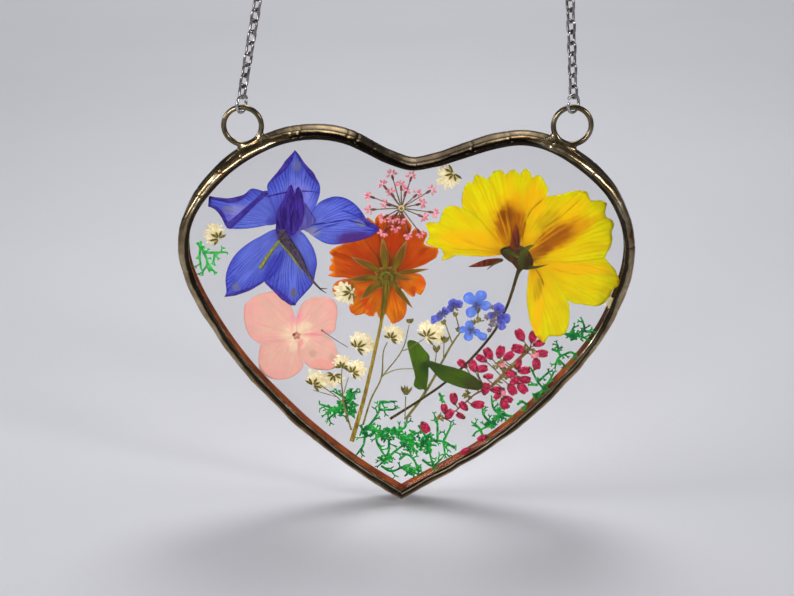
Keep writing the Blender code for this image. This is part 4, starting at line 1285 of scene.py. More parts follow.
yellowMarks = [
    (15.4, 20.4, 8.5, 2.6, 4, yellow["gold"], 0.8),
    (33.2, 30.4, 2.6, 6.0, -8, yellow["gold"], 0.8),
    (26.0, 33.0, 1.6, 5.0, 4, (228, 190, 2), 0.7),
    (44.0, 12.2, 11, 1.7, 3, yellow["gold"], 0.8),
    (41.0, 27.4, 7.0, 3.4, -34, (226, 180, 2), 0.75),
    (34.2, -1.0, 1.7, 7.6, 6, (228, 174, 6), 0.85),
    (34.2, 6.8, 1.2, 4.0, 8, (150, 116, 10), 0.7, 1),
    (26.6, 24.6, 5.4, 8.2, 6, (206, 132, 4), 0.75),
    (26.2, 24.2, 3.6, 5.2, 4, (176, 106, 4), 0.4),
    (26.4, 24.6, 4.0, 5.8, 4, (140, 76, 4), 0.95, 1),
    (25.2, 26.6, 2.2, 2.2, 0, (116, 58, 4), 0.8, 1),
    (29.0, 24.6, 1.6, 6.4, 0, (152, 84, 4), 0.8, 1),
    (29.4, 30.4, 2.6, 3.4, 0, (224, 158, 4), 0.6, 1),
    (36.2, 25.4, 4.4, 2.8, -40, (166, 136, 10), 0.7, 1),
    (40.0, 21.8, 9.0, 4.0, -30, (202, 124, 6), 0.7),
    (38.0, 20.8, 5.8, 2.7, -32, (176, 106, 6), 0.35),
    (38.2, 20.8, 6.6, 3.0, -32, (142, 74, 6), 0.95, 1),
    (34.2, 16.8, 3.8, 2.2, -26, (132, 62, 8), 0.85, 1),
    (45.6, 24.2, 4.6, 1.1, -28, (206, 138, 8), 0.4, 1),
    (34.8, -7.2, 1.2, 1.0, 0, (206, 120, 16), 0.7),
    (55.4, 8.3, 0.8, 1.0, 0, (190, 90, 20), 0.8),
    *lineMarks([(29.8, 19.9), (29.9, 23.0), (30.6, 25.8), (32.0, 28.5), (34.6, 30.9)], 0.16, yellow["line"],
        0.8),
    *lineMarks([(34.4, 23.0), (39.4, 26.4), (44.9, 31.6)], 0.15, yellow["line"], 0.7),
    *lineMarks([(31.6, 17.6), (36.0, 22.6), (40.4, 25.6)], 0.14, yellow["line"], 0.6),
    *lineMarks([(22.6, 23.6), (23.6, 21.0), (25.4, 18.8)], 0.14, yellow["line"], 0.6),
    *lineMarks([(13.6, 20.6), (18.6, 18.6), (24.0, 17.0)], 0.12, yellow["line"], 0.5),
    *lineMarks([(12.4, 17.6), (18.6, 17.4), (23.4, 16.6)], 0.12, yellow["line"], 0.5),
    *lineMarks([(33.4, 12.2), (35.0, 9.8), (35.8, 7.4)], 0.2, (96, 60, 10), 0.85),
    *lineMarks([(37.0, 12.6), (42.0, 10.8), (45.6, 10.6)], 0.14, (180, 110, 6), 0.6),
    *lineMarks([(44.0, 13.6), (49.0, 12.6), (54.4, 10.2)], 0.13, (196, 120, 6), 0.6),
]
yellowPetal = petalMaterial(
    "yellowPetal", [(0.0, (186, 124, 4)), (0.2, (220, 172, 0)), (0.55, (222, 198, 0)), (1.0, (208, 206, 0))],
    (196, 140, 2), veins=46, veinStrength=0.5, streak=0.4, marks=yellowMarks, shade=0.9)
receptacle = plainPlant("receptacle", (26, 12, 10), (64, 38, 20), scale=1.0, specks=(128, 106, 40))
rustSpike = plainPlant("rustSpike", (62, 18, 10), (120, 52, 30), scale=0.9, grain=(2.4, 1, 0.5))
greenBract = petalMaterial(
    "greenBract", [(0.0, (56, 60, 22)), (0.6, (80, 88, 30)), (1.0, (104, 108, 44))], (48, 42, 16),
    veins=12, veinStrength=0.5, margin=((126, 122, 56), 0.2, 0.6))


def makeYellowCosmos():
    for name, (node, layer, sharp, outline) in yellow["petals"].items():
        parts = [pressPetal(
            outline, outline[0], layer, spokes=150, rings=26, teeth=0.06, ruffle=0.04, ruffles=11,
            wrinkle=0.11, corners=sharp)]
        if name == "yellowPetalLeft":
            parts.append(spindle((12.6, 17.9), (9.0, 14.6), 2.6, layer, fullest=0.35, spokes=32))
        pressed(inMaterial(yellowPetal, *parts), name, "yellow_petal", node)
    cup = pressPetal([
        (28.6, 12.3), (27.1, 14.0), (25.2, 15.4), (24.0, 17.1), (24.6, 18.0), (26.6, 18.6), (28.8, 18.8),
        (30.6, 18.0), (32.1, 16.1), (32.7, 13.8), (31.7, 12.2), (29.9, 12.3)],
        (29.2, 12.8), 1, spokes=64, rings=12, wrinkle=0.2, bow=0.9)
    spike = pressPetal([(26.6, 18.0), (27.0, 21.5), (27.9, 24.8), (28.7, 21.5), (29.1, 18.0), (27.8, 17.2)],
                       (27.8, 17.4), 1, spokes=40, rings=10, corners=(2,), lift=0.02)
    low = spindle((24.9, 15.0), (15.8, 12.9), 1.9, 1, fullest=0.45, lift=0.04, rings=8, spokes=32)
    dark = inMaterial(receptacle, cup) + inMaterial(rustSpike, spike, low)
    green = [ribbon(path, widths, 1, lift=lift) for path, widths, lift in yellow["greenBracts"]]
    green = inMaterial(greenBract, *green)
    pressed(dark + green, "yellowCalyx", "olive_stem", "yellow_calyx")
    stem = pressStems([[
        (29.8, 13.2, 1.1), (29.0, 11.6, 0.6), (28.5, 10.0, 0.46), (27.5, 6.1, 0.41), (26.3, 2.1, 0.38),
        (25.0, -1.0, 0.37), (22.7, -5.7, 0.37), (17.1, -13.0, 0.37), (10.4, -19.7, 0.36), (3.6, -24.9, 0.36),
        (-4.5, -30.5, 0.40)]], 2, flat=0.3, resolution=4)
    pressed(inMaterial(darkStem, stem), "yellowStem", "dark_stem", "yellow_stem")


makeYellowCosmos()
print("yellow cosmos is pressed")


# Hydrangea floret

hydrangea = {
    "hydrangeaSepalUpperLeft": ("hydrangea_sepal_upper_left", 3, [
        (-29.4, -5.9), (-29.7, -3.3), (-30.2, -0.3), (-30.8, 2.9), (-32.5, 5.0), (-34.2, 5.8), (-36.6, 5.7),
        (-39.4, 4.8), (-42.1, 2.7), (-42.8, 1.3), (-42.9, -2.2), (-42.0, -5.9), (-39.8, -8.3), (-38.5, -8.8),
        (-35.5, -8.3), (-31.9, -7.1)]),
    "hydrangeaSepalUpperRight": ("hydrangea_sepal_upper_right", 4, [
        (-29.0, -6.1), (-29.0, -3.1), (-28.8, -0.3), (-27.3, 2.5), (-25.3, 3.9), (-22.9, 4.3), (-20.8, 4.1),
        (-19.0, 2.9), (-18.3, 0.6), (-18.6, -2.6), (-19.4, -5.5), (-22.2, -6.6), (-25.5, -6.8),
        (-27.5, -6.5)]),
    "hydrangeaSepalLowerLeft": ("hydrangea_sepal_lower_left", 4, [
        (-29.4, -6.7), (-31.9, -7.4), (-35.5, -8.2), (-38.5, -9.0), (-39.4, -11.6), (-39.5, -14.7),
        (-38.8, -17.1), (-35.8, -19.1), (-32.2, -19.1), (-29.3, -17.6), (-27.8, -15.7), (-27.6, -14.0),
        (-28.0, -10.4), (-28.7, -8.1)]),
    "hydrangeaSepalLowerRight": ("hydrangea_sepal_lower_right", 3, [
        (-28.9, -6.6), (-26.6, -6.0), (-24.4, -6.2), (-21.2, -6.9), (-19.6, -8.1), (-18.4, -11.1),
        (-18.1, -13.5), (-19.5, -15.9), (-22.4, -16.4), (-25.1, -15.9), (-27.0, -14.5), (-28.0, -11.6),
        (-28.6, -8.8)]),
}
pinkSepal = petalMaterial(
    "pinkSepal",
    [(0.0, (224, 198, 168)), (0.22, (214, 170, 148)), (0.75, (212, 166, 148)), (1.0, (214, 160, 144))],
    (226, 150, 150), veins=18, veinStrength=0.3, streak=0.4, shade=0.94, marks=[
        (-29.2, -6.4, 4.2, 4.2, 0, (230, 212, 176), 0.65, 1),
        (-30.0, -9.7, 1.5, 1.7, 0, (230, 210, 178), 0.4), (-26.8, -3.8, 1.8, 1.4, 0, (230, 212, 178), 0.4),
        (-28.8, -1.2, 1.5, 2.6, 0, (232, 124, 148), 0.55, 1),
        (-30.4, -3.0, 0.7, 3.6, 0, (232, 134, 152), 0.5, 1),
        (-25.2, -6.3, 3.4, 0.6, 0, (228, 130, 146), 0.6, 1),
        (-28.2, -8.6, 0.8, 1.7, 20, (228, 130, 140), 0.7), (-34.6, -7.9, 5.0, 0.5, 8, (226, 140, 146), 0.4),
        (-25.0, -11.6, 1.2, 1.2, 0, (172, 140, 120), 0.5),
        (-19.9, -13.0, 1.0, 1.3, 0, (176, 144, 122), 0.5),
        (-22.6, -14.6, 3.6, 1.6, 0, (218, 138, 122), 0.4)])
brownHeart = plainPlant("brownHeart", (150, 92, 76), (206, 146, 122), scale=1.2)
brownDot = plainPlant("brownDot", (84, 46, 44), (120, 74, 64), scale=2)
purpleStalk = plainPlant("purpleStalk", (104, 64, 78), (140, 100, 100), scale=1)


def addSpot(x, z, radius, y, flat=0.5):
    bpy.ops.object.select_all(action="DESELECT")
    bpy.ops.mesh.primitive_uv_sphere_add(segments=12, ring_count=8, radius=radius * mm)
    obj = bpy.context.object
    obj.data.transform(Matrix.Translation(place(x, z, y)) @ Matrix.Diagonal((1, flat, 1, 1)))
    return obj


def makeHydrangea():
    for name, (node, layer, outline) in hydrangea.items():
        petal = pressPetal(outline, outline[0], layer, ruffle=0.04, ruffles=5, wrinkle=0.14)
        parts = inMaterial(pinkSepal, petal)
        if name.endswith("UpperLeft"):
            outline = lobedOutline((-29.2, -6.4), 1.1, 5, 0.3, turn=0.4)
            parts += inMaterial(brownHeart, pressPetal(outline, (-29.2, -6.4), 2, spokes=30, rings=5, bow=1))
            parts += inMaterial(brownDot, addSpot(-29.8, -6.0, 0.38, layerY(2) - 0.12))
            stalk = pressStems([[(-22.3, -4.9, 0.14), (-18.9, -7.4, 0.13), (-15.6, -9.6, 0.12)]], 1, flat=0.8)
            parts += inMaterial(purpleStalk, stalk)
            parts += inMaterial(brownDot, addSpot(-22.4, -4.8, 0.3, layerY(1)))
        pressed(parts, name, "pink_petal", node)


makeHydrangea()
print("hydrangea is pressed")


# Pink umbel

umbel = {
    "middle": (-1.5, 28.8),
    "florets": [
        (-4, 37.8), (1.1, 37.3), (-1.6, 35), (-0.4, 33.4), (-6.2, 35), (-4.2, 33), (6.1, 33.6), (2.6, 32.6),
        (3.6, 30), (6.9, 27.6), (4.2, 26.4), (-5.6, 29.8), (-9.7, 32), (-9.6, 28.4), (-4, 26), (-1.5, 25.6),
        (-3, 23.6), (-6.2, 22.2), (0.2, 21.6), (3.4, 22), (-6.2, 26.2)],
    "lobe": 0.44,
    "cup": (0.85, 0.32, 0.34),
}
roseLobe = plainPlant("roseLobe", (196, 92, 110), (232, 154, 160), scale=2.4)
roseCup = plainPlant("roseCup", (78, 36, 36), (140, 74, 70), scale=2)
umbelStalk = plainPlant("umbelStalk", (84, 62, 50), (128, 104, 80), scale=1.5)
beigeEye = plainPlant("beigeEye", (190, 158, 110), (222, 196, 150), scale=2)


def addEgg(segments=10, rings=7, point=0.0):
    # an egg of 1 mm that lies along x, for copies
    bpy.ops.object.select_all(action="DESELECT")
    bpy.ops.mesh.primitive_uv_sphere_add(
        segments=segments, ring_count=rings, radius=mm, rotation=(0, math.pi / 2, 0))
    egg = bpy.context.object
    pickOnly(egg)
    bpy.ops.object.transform_apply(location=False, rotation=True, scale=False)
    for vertex in egg.data.vertices:
        slim = 1 - point * vertex.co.x / mm
        vertex.co.z *= slim
        vertex.co.y *= slim
    return egg


def makeUmbel():
    random.seed(11)
    middle = Vector(umbel["middle"])
    stalks, cups, lobes = [], [], []
    for x, z in umbel["florets"]:
        tip = Vector((x, z))
        ahead = (tip - middle).normalized()
        near, neck = middle + ahead * 0.8, tip - ahead * 1.5
        stalks.append([(near.x, near.y, 0.17), (neck.x, neck.y, 0.14)])
        heading = math.atan2(ahead.y, ahead.x)
        cups.append(placed(place(*(tip - ahead * 0.9), layerY(1) - 0.05), heading, umbel["cup"]))
        for k in range(5):
            angle = heading + math.radians(-96 + 48 * k) + random.uniform(-0.2, 0.2)
            reach = random.uniform(0.66, 1.0)
            spot = tip + towards(angle) * reach
            size = umbel["lobe"] * random.uniform(0.8, 1.15)
            at = place(spot.x, spot.y, layerY(1) + random.uniform(-0.12, 0.05))
            lobes.append(placed(at, angle, (size * 1.3, 0.18, size * 0.72)))
    parts = inMaterial(umbelStalk, pressStems(stalks, 1, flat=0.8))
    parts += inMaterial(roseCup, stamp(addEgg(), cups))
    parts += inMaterial(roseLobe, stamp(addEgg(), lobes))
    parts += inMaterial(beigeEye, addSpot(middle.x, middle.y, 0.8, layerY(1) - 0.05, flat=0.35))
    parts += inMaterial(oliveStem, addSpot(middle.x, middle.y, 0.4, layerY(1) - 0.3, flat=0.5))
    pressed(parts, "umbel", "rose_floret", "umbel")


makeUmbel()
print("umbel is pressed")


# Baby's breath

babysBreath = {
    "smallest": 2.2,  # a flower that shows its calyx
    "flowers": {  # node, layer, middle, radius, way from the middle to the calyx
        "babysBreathFlowerTopLeft": ("babys_breath_flower_top_left", 3, (-49.5, 21.4), 3.1, -50),
        "babysBreathFlowerTop": ("babys_breath_flower_top", 2, (10.7, 37.1), 3.3, 40),
        "babysBreathFlowerOnOrange": ("babys_breath_flower_on_orange", 1, (-15.8, 5.8), 3.3, 10),
        "babysBreathFlowerMiddle": ("babys_breath_flower_middle", 2, (-12.2, -8.9), 3.5, -140),
        "babysBreathFlowerCentre": ("babys_breath_flower_centre", 2, (-3.6, -6.2), 3.0, -130),
        "babysBreathFlowerRight": ("babys_breath_flower_right", 2, (6.2, -5.6), 3.9, -130),
        "babysBreathFlowerLow": ("babys_breath_flower_low", 2, (-24.2, -19.5), 3.3, -130),
        "babysBreathFlowerHigh": (None, 2, (-13.6, -16.2), 3.1, -140),
        "babysBreathFlowerNear": (None, 1, (-19.6, -18.4), 2.7, 80),
        "babysBreathFlowerEdge": (None, 3, (53.6, 3.0), 1.9, 80),
        "babysBreathFlowerTall": (None, 2, (-17.2, -14.4), 2.4, -100),
    },
    "stems": {
        "babysBreathStemLeft": ("babys_breath_stem_left", 1, [
            [(-15.0, -33.6, 0.26), (-16.9, -25.9, 0.24), (-17.5, -18.4, 0.17)],
            [(-16.9, -25.9, 0.17), (-19.0, -23.6, 0.14), (-23.2, -20.4, 0.13)],
            [(-19.0, -23.8, 0.13), (-25.1, -21.9, 0.12)],
            [(-16.9, -22.9, 0.14), (-15.6, -18.2, 0.12)],
            [(-17.3, -20.4, 0.13), (-18.8, -19.2, 0.11), (-19.6, -18.2, 0.1)],
            [(-17.5, -18.4, 0.13), (-17.2, -15.2, 0.12)]]),
        "babysBreathStemRight": ("babys_breath_stem_right", 0, [
            [(-11.8, -31.9, 0.28), (-9.6, -24.4, 0.24), (-6.8, -18.1, 0.22), (-6.3, -11.1, 0.16),
             (-5.2, -8.0, 0.14)],
            [(-6.8, -18.1, 0.2), (-1.3, -10.3, 0.17), (0.6, -3.0, 0.12)],
            [(-1.3, -10.3, 0.15), (0.0, -10.0, 0.14), (4.6, -7.0, 0.13)],
            [(-6.1, -17.3, 0.15), (-2.7, -15.8, 0.14), (2.1, -15.5, 0.13)],
            [(-0.5, -30.4, 0.15), (-0.3, -23.6, 0.15)],
            [(7.5, -13.8, 0.16), (7.8, -10.9, 0.15)], [(9.7, -12.4, 0.16), (9.8, -8.0, 0.14)]]),
    },
    # calyxes without flowers, with their length
    "heads": [(0.8, -2.9, 1.9), (-0.3, -23.6, 3.8), (7.8, -11.2, 2.6), (9.9, -8.4, 2.4)],
}
creamPetal = petalMaterial(
    "creamPetal", [(0.0, (206, 182, 112)), (0.4, (234, 218, 164)), (1.0, (244, 236, 208))],
    (204, 180, 120), veins=26, veinStrength=0.4, streak=0.6, shade=0.88)
creamCup = plainPlant("creamCup", (66, 62, 26), (130, 116, 52), scale=1.8)


def fanOfSpikes(foot, heading, reach, layer, lift, count, wide, width):
    spikes = []
    for k in range(count):
        angle = heading + math.radians(wide * (k / (count - 1) - 0.5)) + random.uniform(-0.12, 0.12)
        way = towards(angle)
        near, far = foot + way * reach * 0.14, foot + way * reach * random.uniform(0.8, 1.05)
        above = lift - 0.02 * (k % 2)
        spikes.append(spindle(near, far, width, layer, fullest=0.62, lift=above, spokes=16, rings=4))
    return inMaterial(creamCup, *spikes)


def makeBabysBreath():
    for count, (name, (node, layer, centre, radius, turn)) in enumerate(babysBreath["flowers"].items()):
        random.seed(31 + count)
        aim = math.radians(turn)
        away = towards(aim)
        foot = Vector(centre) + away * radius * 0.42
        parts = []
        for k in range(3):
            outline = lobedOutline(
                centre, radius * (1 - 0.13 * k), 11 - k, 0.15, turn=0.6 * k + count, uneven=0.24)
            for point in outline:  # drawn in at the calyx, fanned out ahead of it
                behind = (point - Vector(centre)).dot(away)
                point -= away * max(0, behind) * 0.4
            parts += inMaterial(creamPetal, pressPetal(
                outline, foot - away * radius * 0.25, layer, spokes=104, rings=9, bow=1, ruffle=0.07,
                ruffles=9 + k, wrinkle=0.14, lift=-0.10 * k + 0.1, thick=0.07))
        if radius > babysBreath["smallest"]:
            parts += fanOfSpikes(foot, aim + math.pi, radius * 0.8, layer, -0.26, 6, 200, 0.6)
        pressed(parts, name, "cream_floret", *([node] if node else []))
    for name, (node, layer, paths) in babysBreath["stems"].items():
        parts = inMaterial(thinStalk, pressStems(paths, layer, flat=0.7))
        if name.endswith("Right"):
            for x, z, length in babysBreath["heads"]:
                foot = Vector((x, z))
                parts += fanOfSpikes(foot, math.pi / 2, length, layer, 0.0, 4, 56, 0.8)
        pressed(parts, name, "olive_stem", node)


makeBabysBreath()
print("baby's breath is pressed")


# Forget-me-nots

forgetMeNot = {
    "flowers": {  # every head is its middle and its lobes with their radius
        "forgetMeNotFlowersBlue": ("forget_me_not_flowers_blue", "blue", [
            ((18.3, 2.2), [(16.3, 4.3, 1.55), (19.4, 5.0, 1.5), (20.6, 2.2, 1.4), (16.8, 0.3, 1.45)]),
            ((17.0, -4.6), [(16.4, -3.2, 1.2), (16.2, -6.5, 1.25), (14.6, -4.5, 1.0), (18.3, -5.2, 1.0),
                            (20.1, -6.5, 1.1)])]),
        "forgetMeNotFlowerLeft": ("forget_me_not_flower_left", "lilac", [
            ((9.2, -0.2), [(7.1, -1.8, 1.05), (8.3, -1.0, 1.2), (10.0, 0.7, 1.1)]),
            ((12.4, 1.7), [(11.2, 1.2, 1.0), (11.8, 3.1, 1.1), (13.5, 2.6, 1.15)])]),
        "forgetMeNotFlowerRight": ("forget_me_not_flower_right", "lilac", [
            ((23.5, -0.4), [(24.1, 1.5, 1.45), (25.8, -1.4, 1.3), (25.0, -3.7, 0.95), (22.0, -0.6, 1.0)])]),
    },
    "withered": [
        (22.2, 1.8, 0.8), (21.0, -1.0, 0.85), (22.3, -3.0, 0.95), (21.7, -4.6, 0.7), (23.2, 0.2, 0.8),
        (23.7, -2.9, 0.75), (22.8, -1.6, 0.8)],
    "stems": [
        [(-0.2, -30.6, 0.34), (3.4, -25.4, 0.4), (6.9, -19.3, 0.36), (9.3, -14.1, 0.32),
         (11.9, -9.0, 0.28), (14.2, -5.4, 0.22)],
        [(11.9, -8.4, 0.2), (10.7, -4.9, 0.18), (10.0, -2.8, 0.17)],
        [(13.9, -5.2, 0.19), (13.2, -2.2, 0.17), (12.6, -0.4, 0.17)],
        [(14.2, -5.4, 0.2), (16.2, -3.4, 0.18), (17.8, -2.8, 0.17), (20.4, -2.2, 0.17)],
        [(18.7, -3.0, 0.17), (18.7, -1.4, 0.16), (18.6, 0.2, 0.16)]],
    "cups": [  # place and heading
        (18.6, -0.2, 96), (12.6, -1.2, 84), (9.9, -3.4, 110), (17.9, -3.4, 120), (14.4, -5.2, 150),
        (18.4, -2.6, 60), (21.6, -2.4, 30)],
}
blueLobe = petalMaterial(
    "blueLobe", [(0.0, (72, 82, 172)), (0.4, (98, 128, 210)), (1.0, (116, 150, 230))], (58, 80, 184),
    veins=16, veinStrength=0.6, streak=0.5, margin=((80, 104, 206), 0.16, 0.8))
lilacLobe = petalMaterial(
    "lilacLobe", [(0.0, (66, 58, 130)), (0.4, (88, 92, 186)), (1.0, (100, 110, 212))], (44, 40, 116),
    veins=12, veinStrength=0.9, streak=0.8, margin=((120, 128, 216), 0.2, 0.6))
greyCup = plainPlant("greyCup", (58, 52, 82), (110, 102, 112), scale=1.6)
witheredLobe = plainPlant("witheredLobe", (56, 50, 92), (120, 106, 116), scale=1.2, specks=(196, 174, 150))


def roundLobe(start, x, z, radius, lift, ragged):
    centre = Vector((x, z))
    ahead = (centre - Vector(start)).normalized()
    side = Vector((-ahead.y, ahead.x))
    outline = [Vector(start)]
    for degrees in (125, 90, 55, 20, -20, -55, -90, -125):
        angle = math.radians(degrees)
        reach = radius * random.uniform(1 - ragged, 1 + ragged)
        outline.append(centre + ahead * math.cos(angle) * reach + side * math.sin(angle) * reach)
    return pressPetal(
        outline, start, 1, steps=4, spokes=40, rings=7, bow=0.85, ruffle=0.05, ruffles=4, wrinkle=0.12,
        lift=lift, thick=0.09)


def makeForgetMeNots():
    random.seed(5)
    for name, (node, kind, heads) in forgetMeNot["flowers"].items():
        material, ragged = (blueLobe, 0.07) if kind == "blue" else (lilacLobe, 0.22)
        parts = []
        for middle, lobes in heads:
            for k, (x, z, radius) in enumerate(lobes):
                lobe = roundLobe(middle, x, z, radius, -0.05 * k + 0.05, ragged)
                parts += inMaterial(material, lobe)
            spikes = fanOfSpikes(Vector(middle), random.uniform(0, 6), 1.5, 1, -0.3, 5, 320, 0.5)
            parts += inMaterial(greyCup, *spikes)
        if name.endswith("Right"):
            for k, (x, z, radius) in enumerate(forgetMeNot["withered"]):
                outline = lobedOutline((x, z), radius, 5, 0.35, turn=k, uneven=0.12)
                parts += inMaterial(witheredLobe, pressPetal(
                    outline, (x, z), 1, spokes=40, rings=5, bow=1, ruffle=0.1, ruffles=5, wrinkle=0.2,
                    lift=-0.14 - 0.03 * k, thick=0.09))
        pressed(parts, name, "blue_floret", node)
    parts = inMaterial(thinStalk, pressStems(forgetMeNot["stems"], 3, flat=0.5))
    for x, z, turn in forgetMeNot["cups"]:
        parts += fanOfSpikes(Vector((x, z)), math.radians(turn), 2.0, 1, 0.1, 3, 34, 0.7)
    pressed(parts, "forgetMeNotStem", "olive_stem", "forget_me_not_stem")


makeForgetMeNots()
print("forget-me-nots are pressed")


# Leaves, buds and moss

leaves = {
    "leafUpright": ("leaf_upright", 1, (2.4, -18.0), (1.2, -8.6), [
        (4.4, -21.6), (3.5, -21.8), (2.1, -21.0), (1.9, -20.0), (2.9, -18.1), (3.1, -16.9), (2.1, -14.7),
        (1.0, -11.8), (0.1, -8.9), (0.3, -7.7), (1.4, -7.5), (3.0, -8.3), (4.7, -10.3), (6.0, -12.2),
        (5.8, -15.5), (5.7, -18.4), (5.1, -22.7)], (16,)),
    "leafAcross": ("leaf_across", 1, (5.0, -13.6), (18.4, -19.6), [
        (3.8, -13.0), (5.5, -13.2), (8.6, -14.2), (10.3, -14.8), (14.7, -16.1), (17.8, -17.8),
        (19.7, -19.6), (20.4, -21.3), (18.6, -21.9), (14.8, -21.3), (11.0, -19.8), (9.0, -18.8),
        (7.3, -16.5), (5.2, -14.7)], (0, 7)),
}
leafSkin = petalMaterial(
    "leafSkin", [(0.0, (54, 78, 10)), (0.5, (72, 106, 12)), (1.0, (66, 96, 12))], (42, 62, 8),
    veins=16, veinStrength=0.5, streak=0.5, margin=((48, 74, 16), 0.08, 0.6), shade=0.72, marks=[
        # the first mark is painted shade where the two leaves overlap
        (4.6, -15.4, 1.6, 1.8, 0, (26, 46, 12), 0.85), (7.6, -15.6, 3.6, 2.4, 30, (38, 56, 14), 0.75),
        (3.8, -19.6, 1.6, 3.0, 0, (48, 70, 10), 0.6), (13.0, -18.4, 5.0, 0.9, 28, (50, 66, 12), 0.6),
        (17.6, -20.2, 3.6, 2.2, 30, (50, 46, 18), 0.8), (12.4, -15.8, 2.2, 1.2, 20, (58, 70, 14), 0.7),
        *lineMarks([(4.6, -22), (4.0, -17.6), (2.6, -12), (1.4, -8.6)], 0.16, (34, 56, 10), 0.7),
        *lineMarks([(5.6, -13.8), (11, -17), (18.6, -20.6)], 0.14, (40, 60, 12), 0.7)])
buds = {
    "buds": [  # place, heading and size
        (29.9, -6.3, 118, 1.35), (33.3, -6.8, 80, 1.2), (35.1, -8.7, 20, 1.1), (29.5, -10.2, 160, 1.4),
        (35.9, -11.6, -5, 1.2), (34.5, -14.6, -80, 1.25), (27.1, -12.3, 40, 1.2), (24.8, -11.0, 75, 1.3),
        (21.6, -11.5, 118, 1.3), (19.7, -13.0, 150, 1.1), (17.6, -15.0, 110, 1.3), (14.7, -14.5, 140, 1.1),
        (20.0, -15.9, 10, 1.2), (21.9, -18.1, 0, 0.9), (21.1, -21.7, 80, 1.3), (24.1, -22.1, 0, 1.1),
        (29.6, -14.5, 80, 1.1), (31.4, -16.5, 5, 1.2), (27.5, -17.5, 185, 1.2), (28.9, -19.4, 220, 1.1),
        (31.6, -19.2, -5, 1.2), (31.0, -21.7, -50, 1.3), (28.2, -22.1, -60, 1.3), (24.3, -23.9, -130, 0.9),
        (27.3, -24.9, -30, 1.0), (26.2, -26.3, -70, 1.2), (12.6, -24.6, 100, 1.2), (10.1, -27.5, 100, 1.05),
        (11.5, -29.2, 60, 1.2), (15.2, -26.8, 130, 1.1), (19.2, -26.4, 0, 1.3), (14.4, -29.6, 150, 0.9)],
    "pale": [(34.2, -12.0, 200, 1.0), (25.3, -14.7, 90, 0.9), (25.8, -22.9, -90, 0.8)],
    "loose": [(5.0, -33.2, -60, 1.3), (20.4, -36.4, -150, 1.0), (15.9, -40.2, -150, 1.0)],
    "reach": 1.15, "length": 1.38, "width": 0.98,
    "base": (0.6, 0.4, 0.6),
    "scale": (0.85, 0.22, 0.3),
    "stems": [
        [(32.6, -10.3, 0.45), (30.0, -13.0, 0.5), (27.3, -16.0, 0.52), (24.7, -18.9, 0.5),
         (22.7, -21.0, 0.42)],
        [(22.7, -21.0, 0.36), (18.3, -23.4, 0.27), (15.6, -26.0, 0.24), (12.4, -29.0, 0.2)]],
    "scales": [
        (32.3, -10.5), (31.4, -9.8), (33.4, -11.2), (24.6, -14.2), (23.6, -15.4), (25.9, -16.4),
        (26.4, -18.6), (28.4, -14.8), (24.6, -19.4), (16.2, -22.6), (15.6, -23.6), (16.6, -24.2),
        (9.6, -30.6), (8.8, -30.2)],
}
# the buds' pink specks are painted highlights
budSkin = plainPlant("budSkin", (90, 2, 24), (186, 26, 68), scale=0.9, rough=0.42, specks=(214, 92, 124))
palePink = plainPlant("palePink", (190, 70, 104), (226, 142, 150), scale=0.9)
budBase = plainPlant("budBase", (74, 20, 30), (112, 60, 40), scale=1.5)
budStem = plainPlant("budStem", (84, 50, 34), (124, 92, 44), scale=1.1)
scaleSkin = plainPlant("scaleSkin", (78, 70, 28), (134, 122, 60), scale=1.3)


def makeLeaves():
    for name, (node, layer, foot, far, outline, sharp) in leaves.items():
        blade = pressPetal(outline, foot, layer, bow=0.9, ruffle=0.04, wrinkle=0.16, corners=sharp)
        middle = Vector(foot).lerp(Vector(far), 0.5)
        rib = ribbon([Vector(foot), middle, Vector(far)], (0.42, 0.3, 0.1), layer, lift=-0.16)
        pressed(inMaterial(leafSkin, blade, rib), name, "leaf", node)


def makeBuds():
    random.seed(23)
    trunk = []
    for path in buds["stems"]:
        trunk += smoothPath([Vector(point[:2]) for point in path], 12)
    stalks = list(buds["stems"])
    places = {"dark": [], "pale": [], "base": [], "scale": []}
    for kind, listed in (("dark", buds["buds"]), ("pale", buds["pale"]), ("dark", buds["loose"])):
        for x, z, turn, size in listed:
            angle = math.radians(turn)
            ahead = towards(angle)
            reach = buds["reach"] * size
            foot = Vector((x, z)) - ahead * reach
            if listed is not buds["loose"]:

                def farness(point):  # from the bud's foot, and a little from the end of the stem
                    return (point - foot).length + 0.06 * (point - trunk[-1]).length

                joint = min(trunk, key=farness)
                middle = joint.lerp(foot, 0.55) - ahead * 0.3
                stalks.append([(joint.x, joint.y, 0.18), (middle.x, middle.y, 0.16), (foot.x, foot.y, 0.16)])
            y = layerY(3) + random.uniform(-0.25, 0.1)
            for splay in (-9, 9):  # two lobes leave a notch at the tip
                tilt = angle + math.radians(splay)
                lobe = foot + towards(tilt) * reach
                scaled = (buds["length"] * size, 0.4, buds["width"] * size * 0.8)
                places[kind].append(placed(place(lobe.x, lobe.y, y + 0.002 * splay), tilt, scaled))
            places["base"].append(placed(place(foot.x, foot.y, y), angle, buds["base"]))
    for x, z in buds["scales"]:
        for k in range(3):
            turn = random.uniform(0, math.tau)
            at = place(x + random.uniform(-0.5, 0.5), z + random.uniform(-0.5, 0.5), layerY(2) + 0.1)
            places["scale"].append(placed(at, -turn, buds["scale"]))
    parts = inMaterial(budStem, pressStems(stalks, 3))
    parts += inMaterial(budSkin, stamp(addEgg(14, 10, point=0.2), places["dark"]))
    parts += inMaterial(palePink, stamp(addEgg(14, 10, point=0.2), places["pale"]))
    parts += inMaterial(budBase, stamp(addEgg(10, 7), places["base"]))
    parts += inMaterial(scaleSkin, stamp(addEgg(8, 6), places["scale"]))
    pressed(parts, "budSprig", "crimson_bud", "bud_sprig")


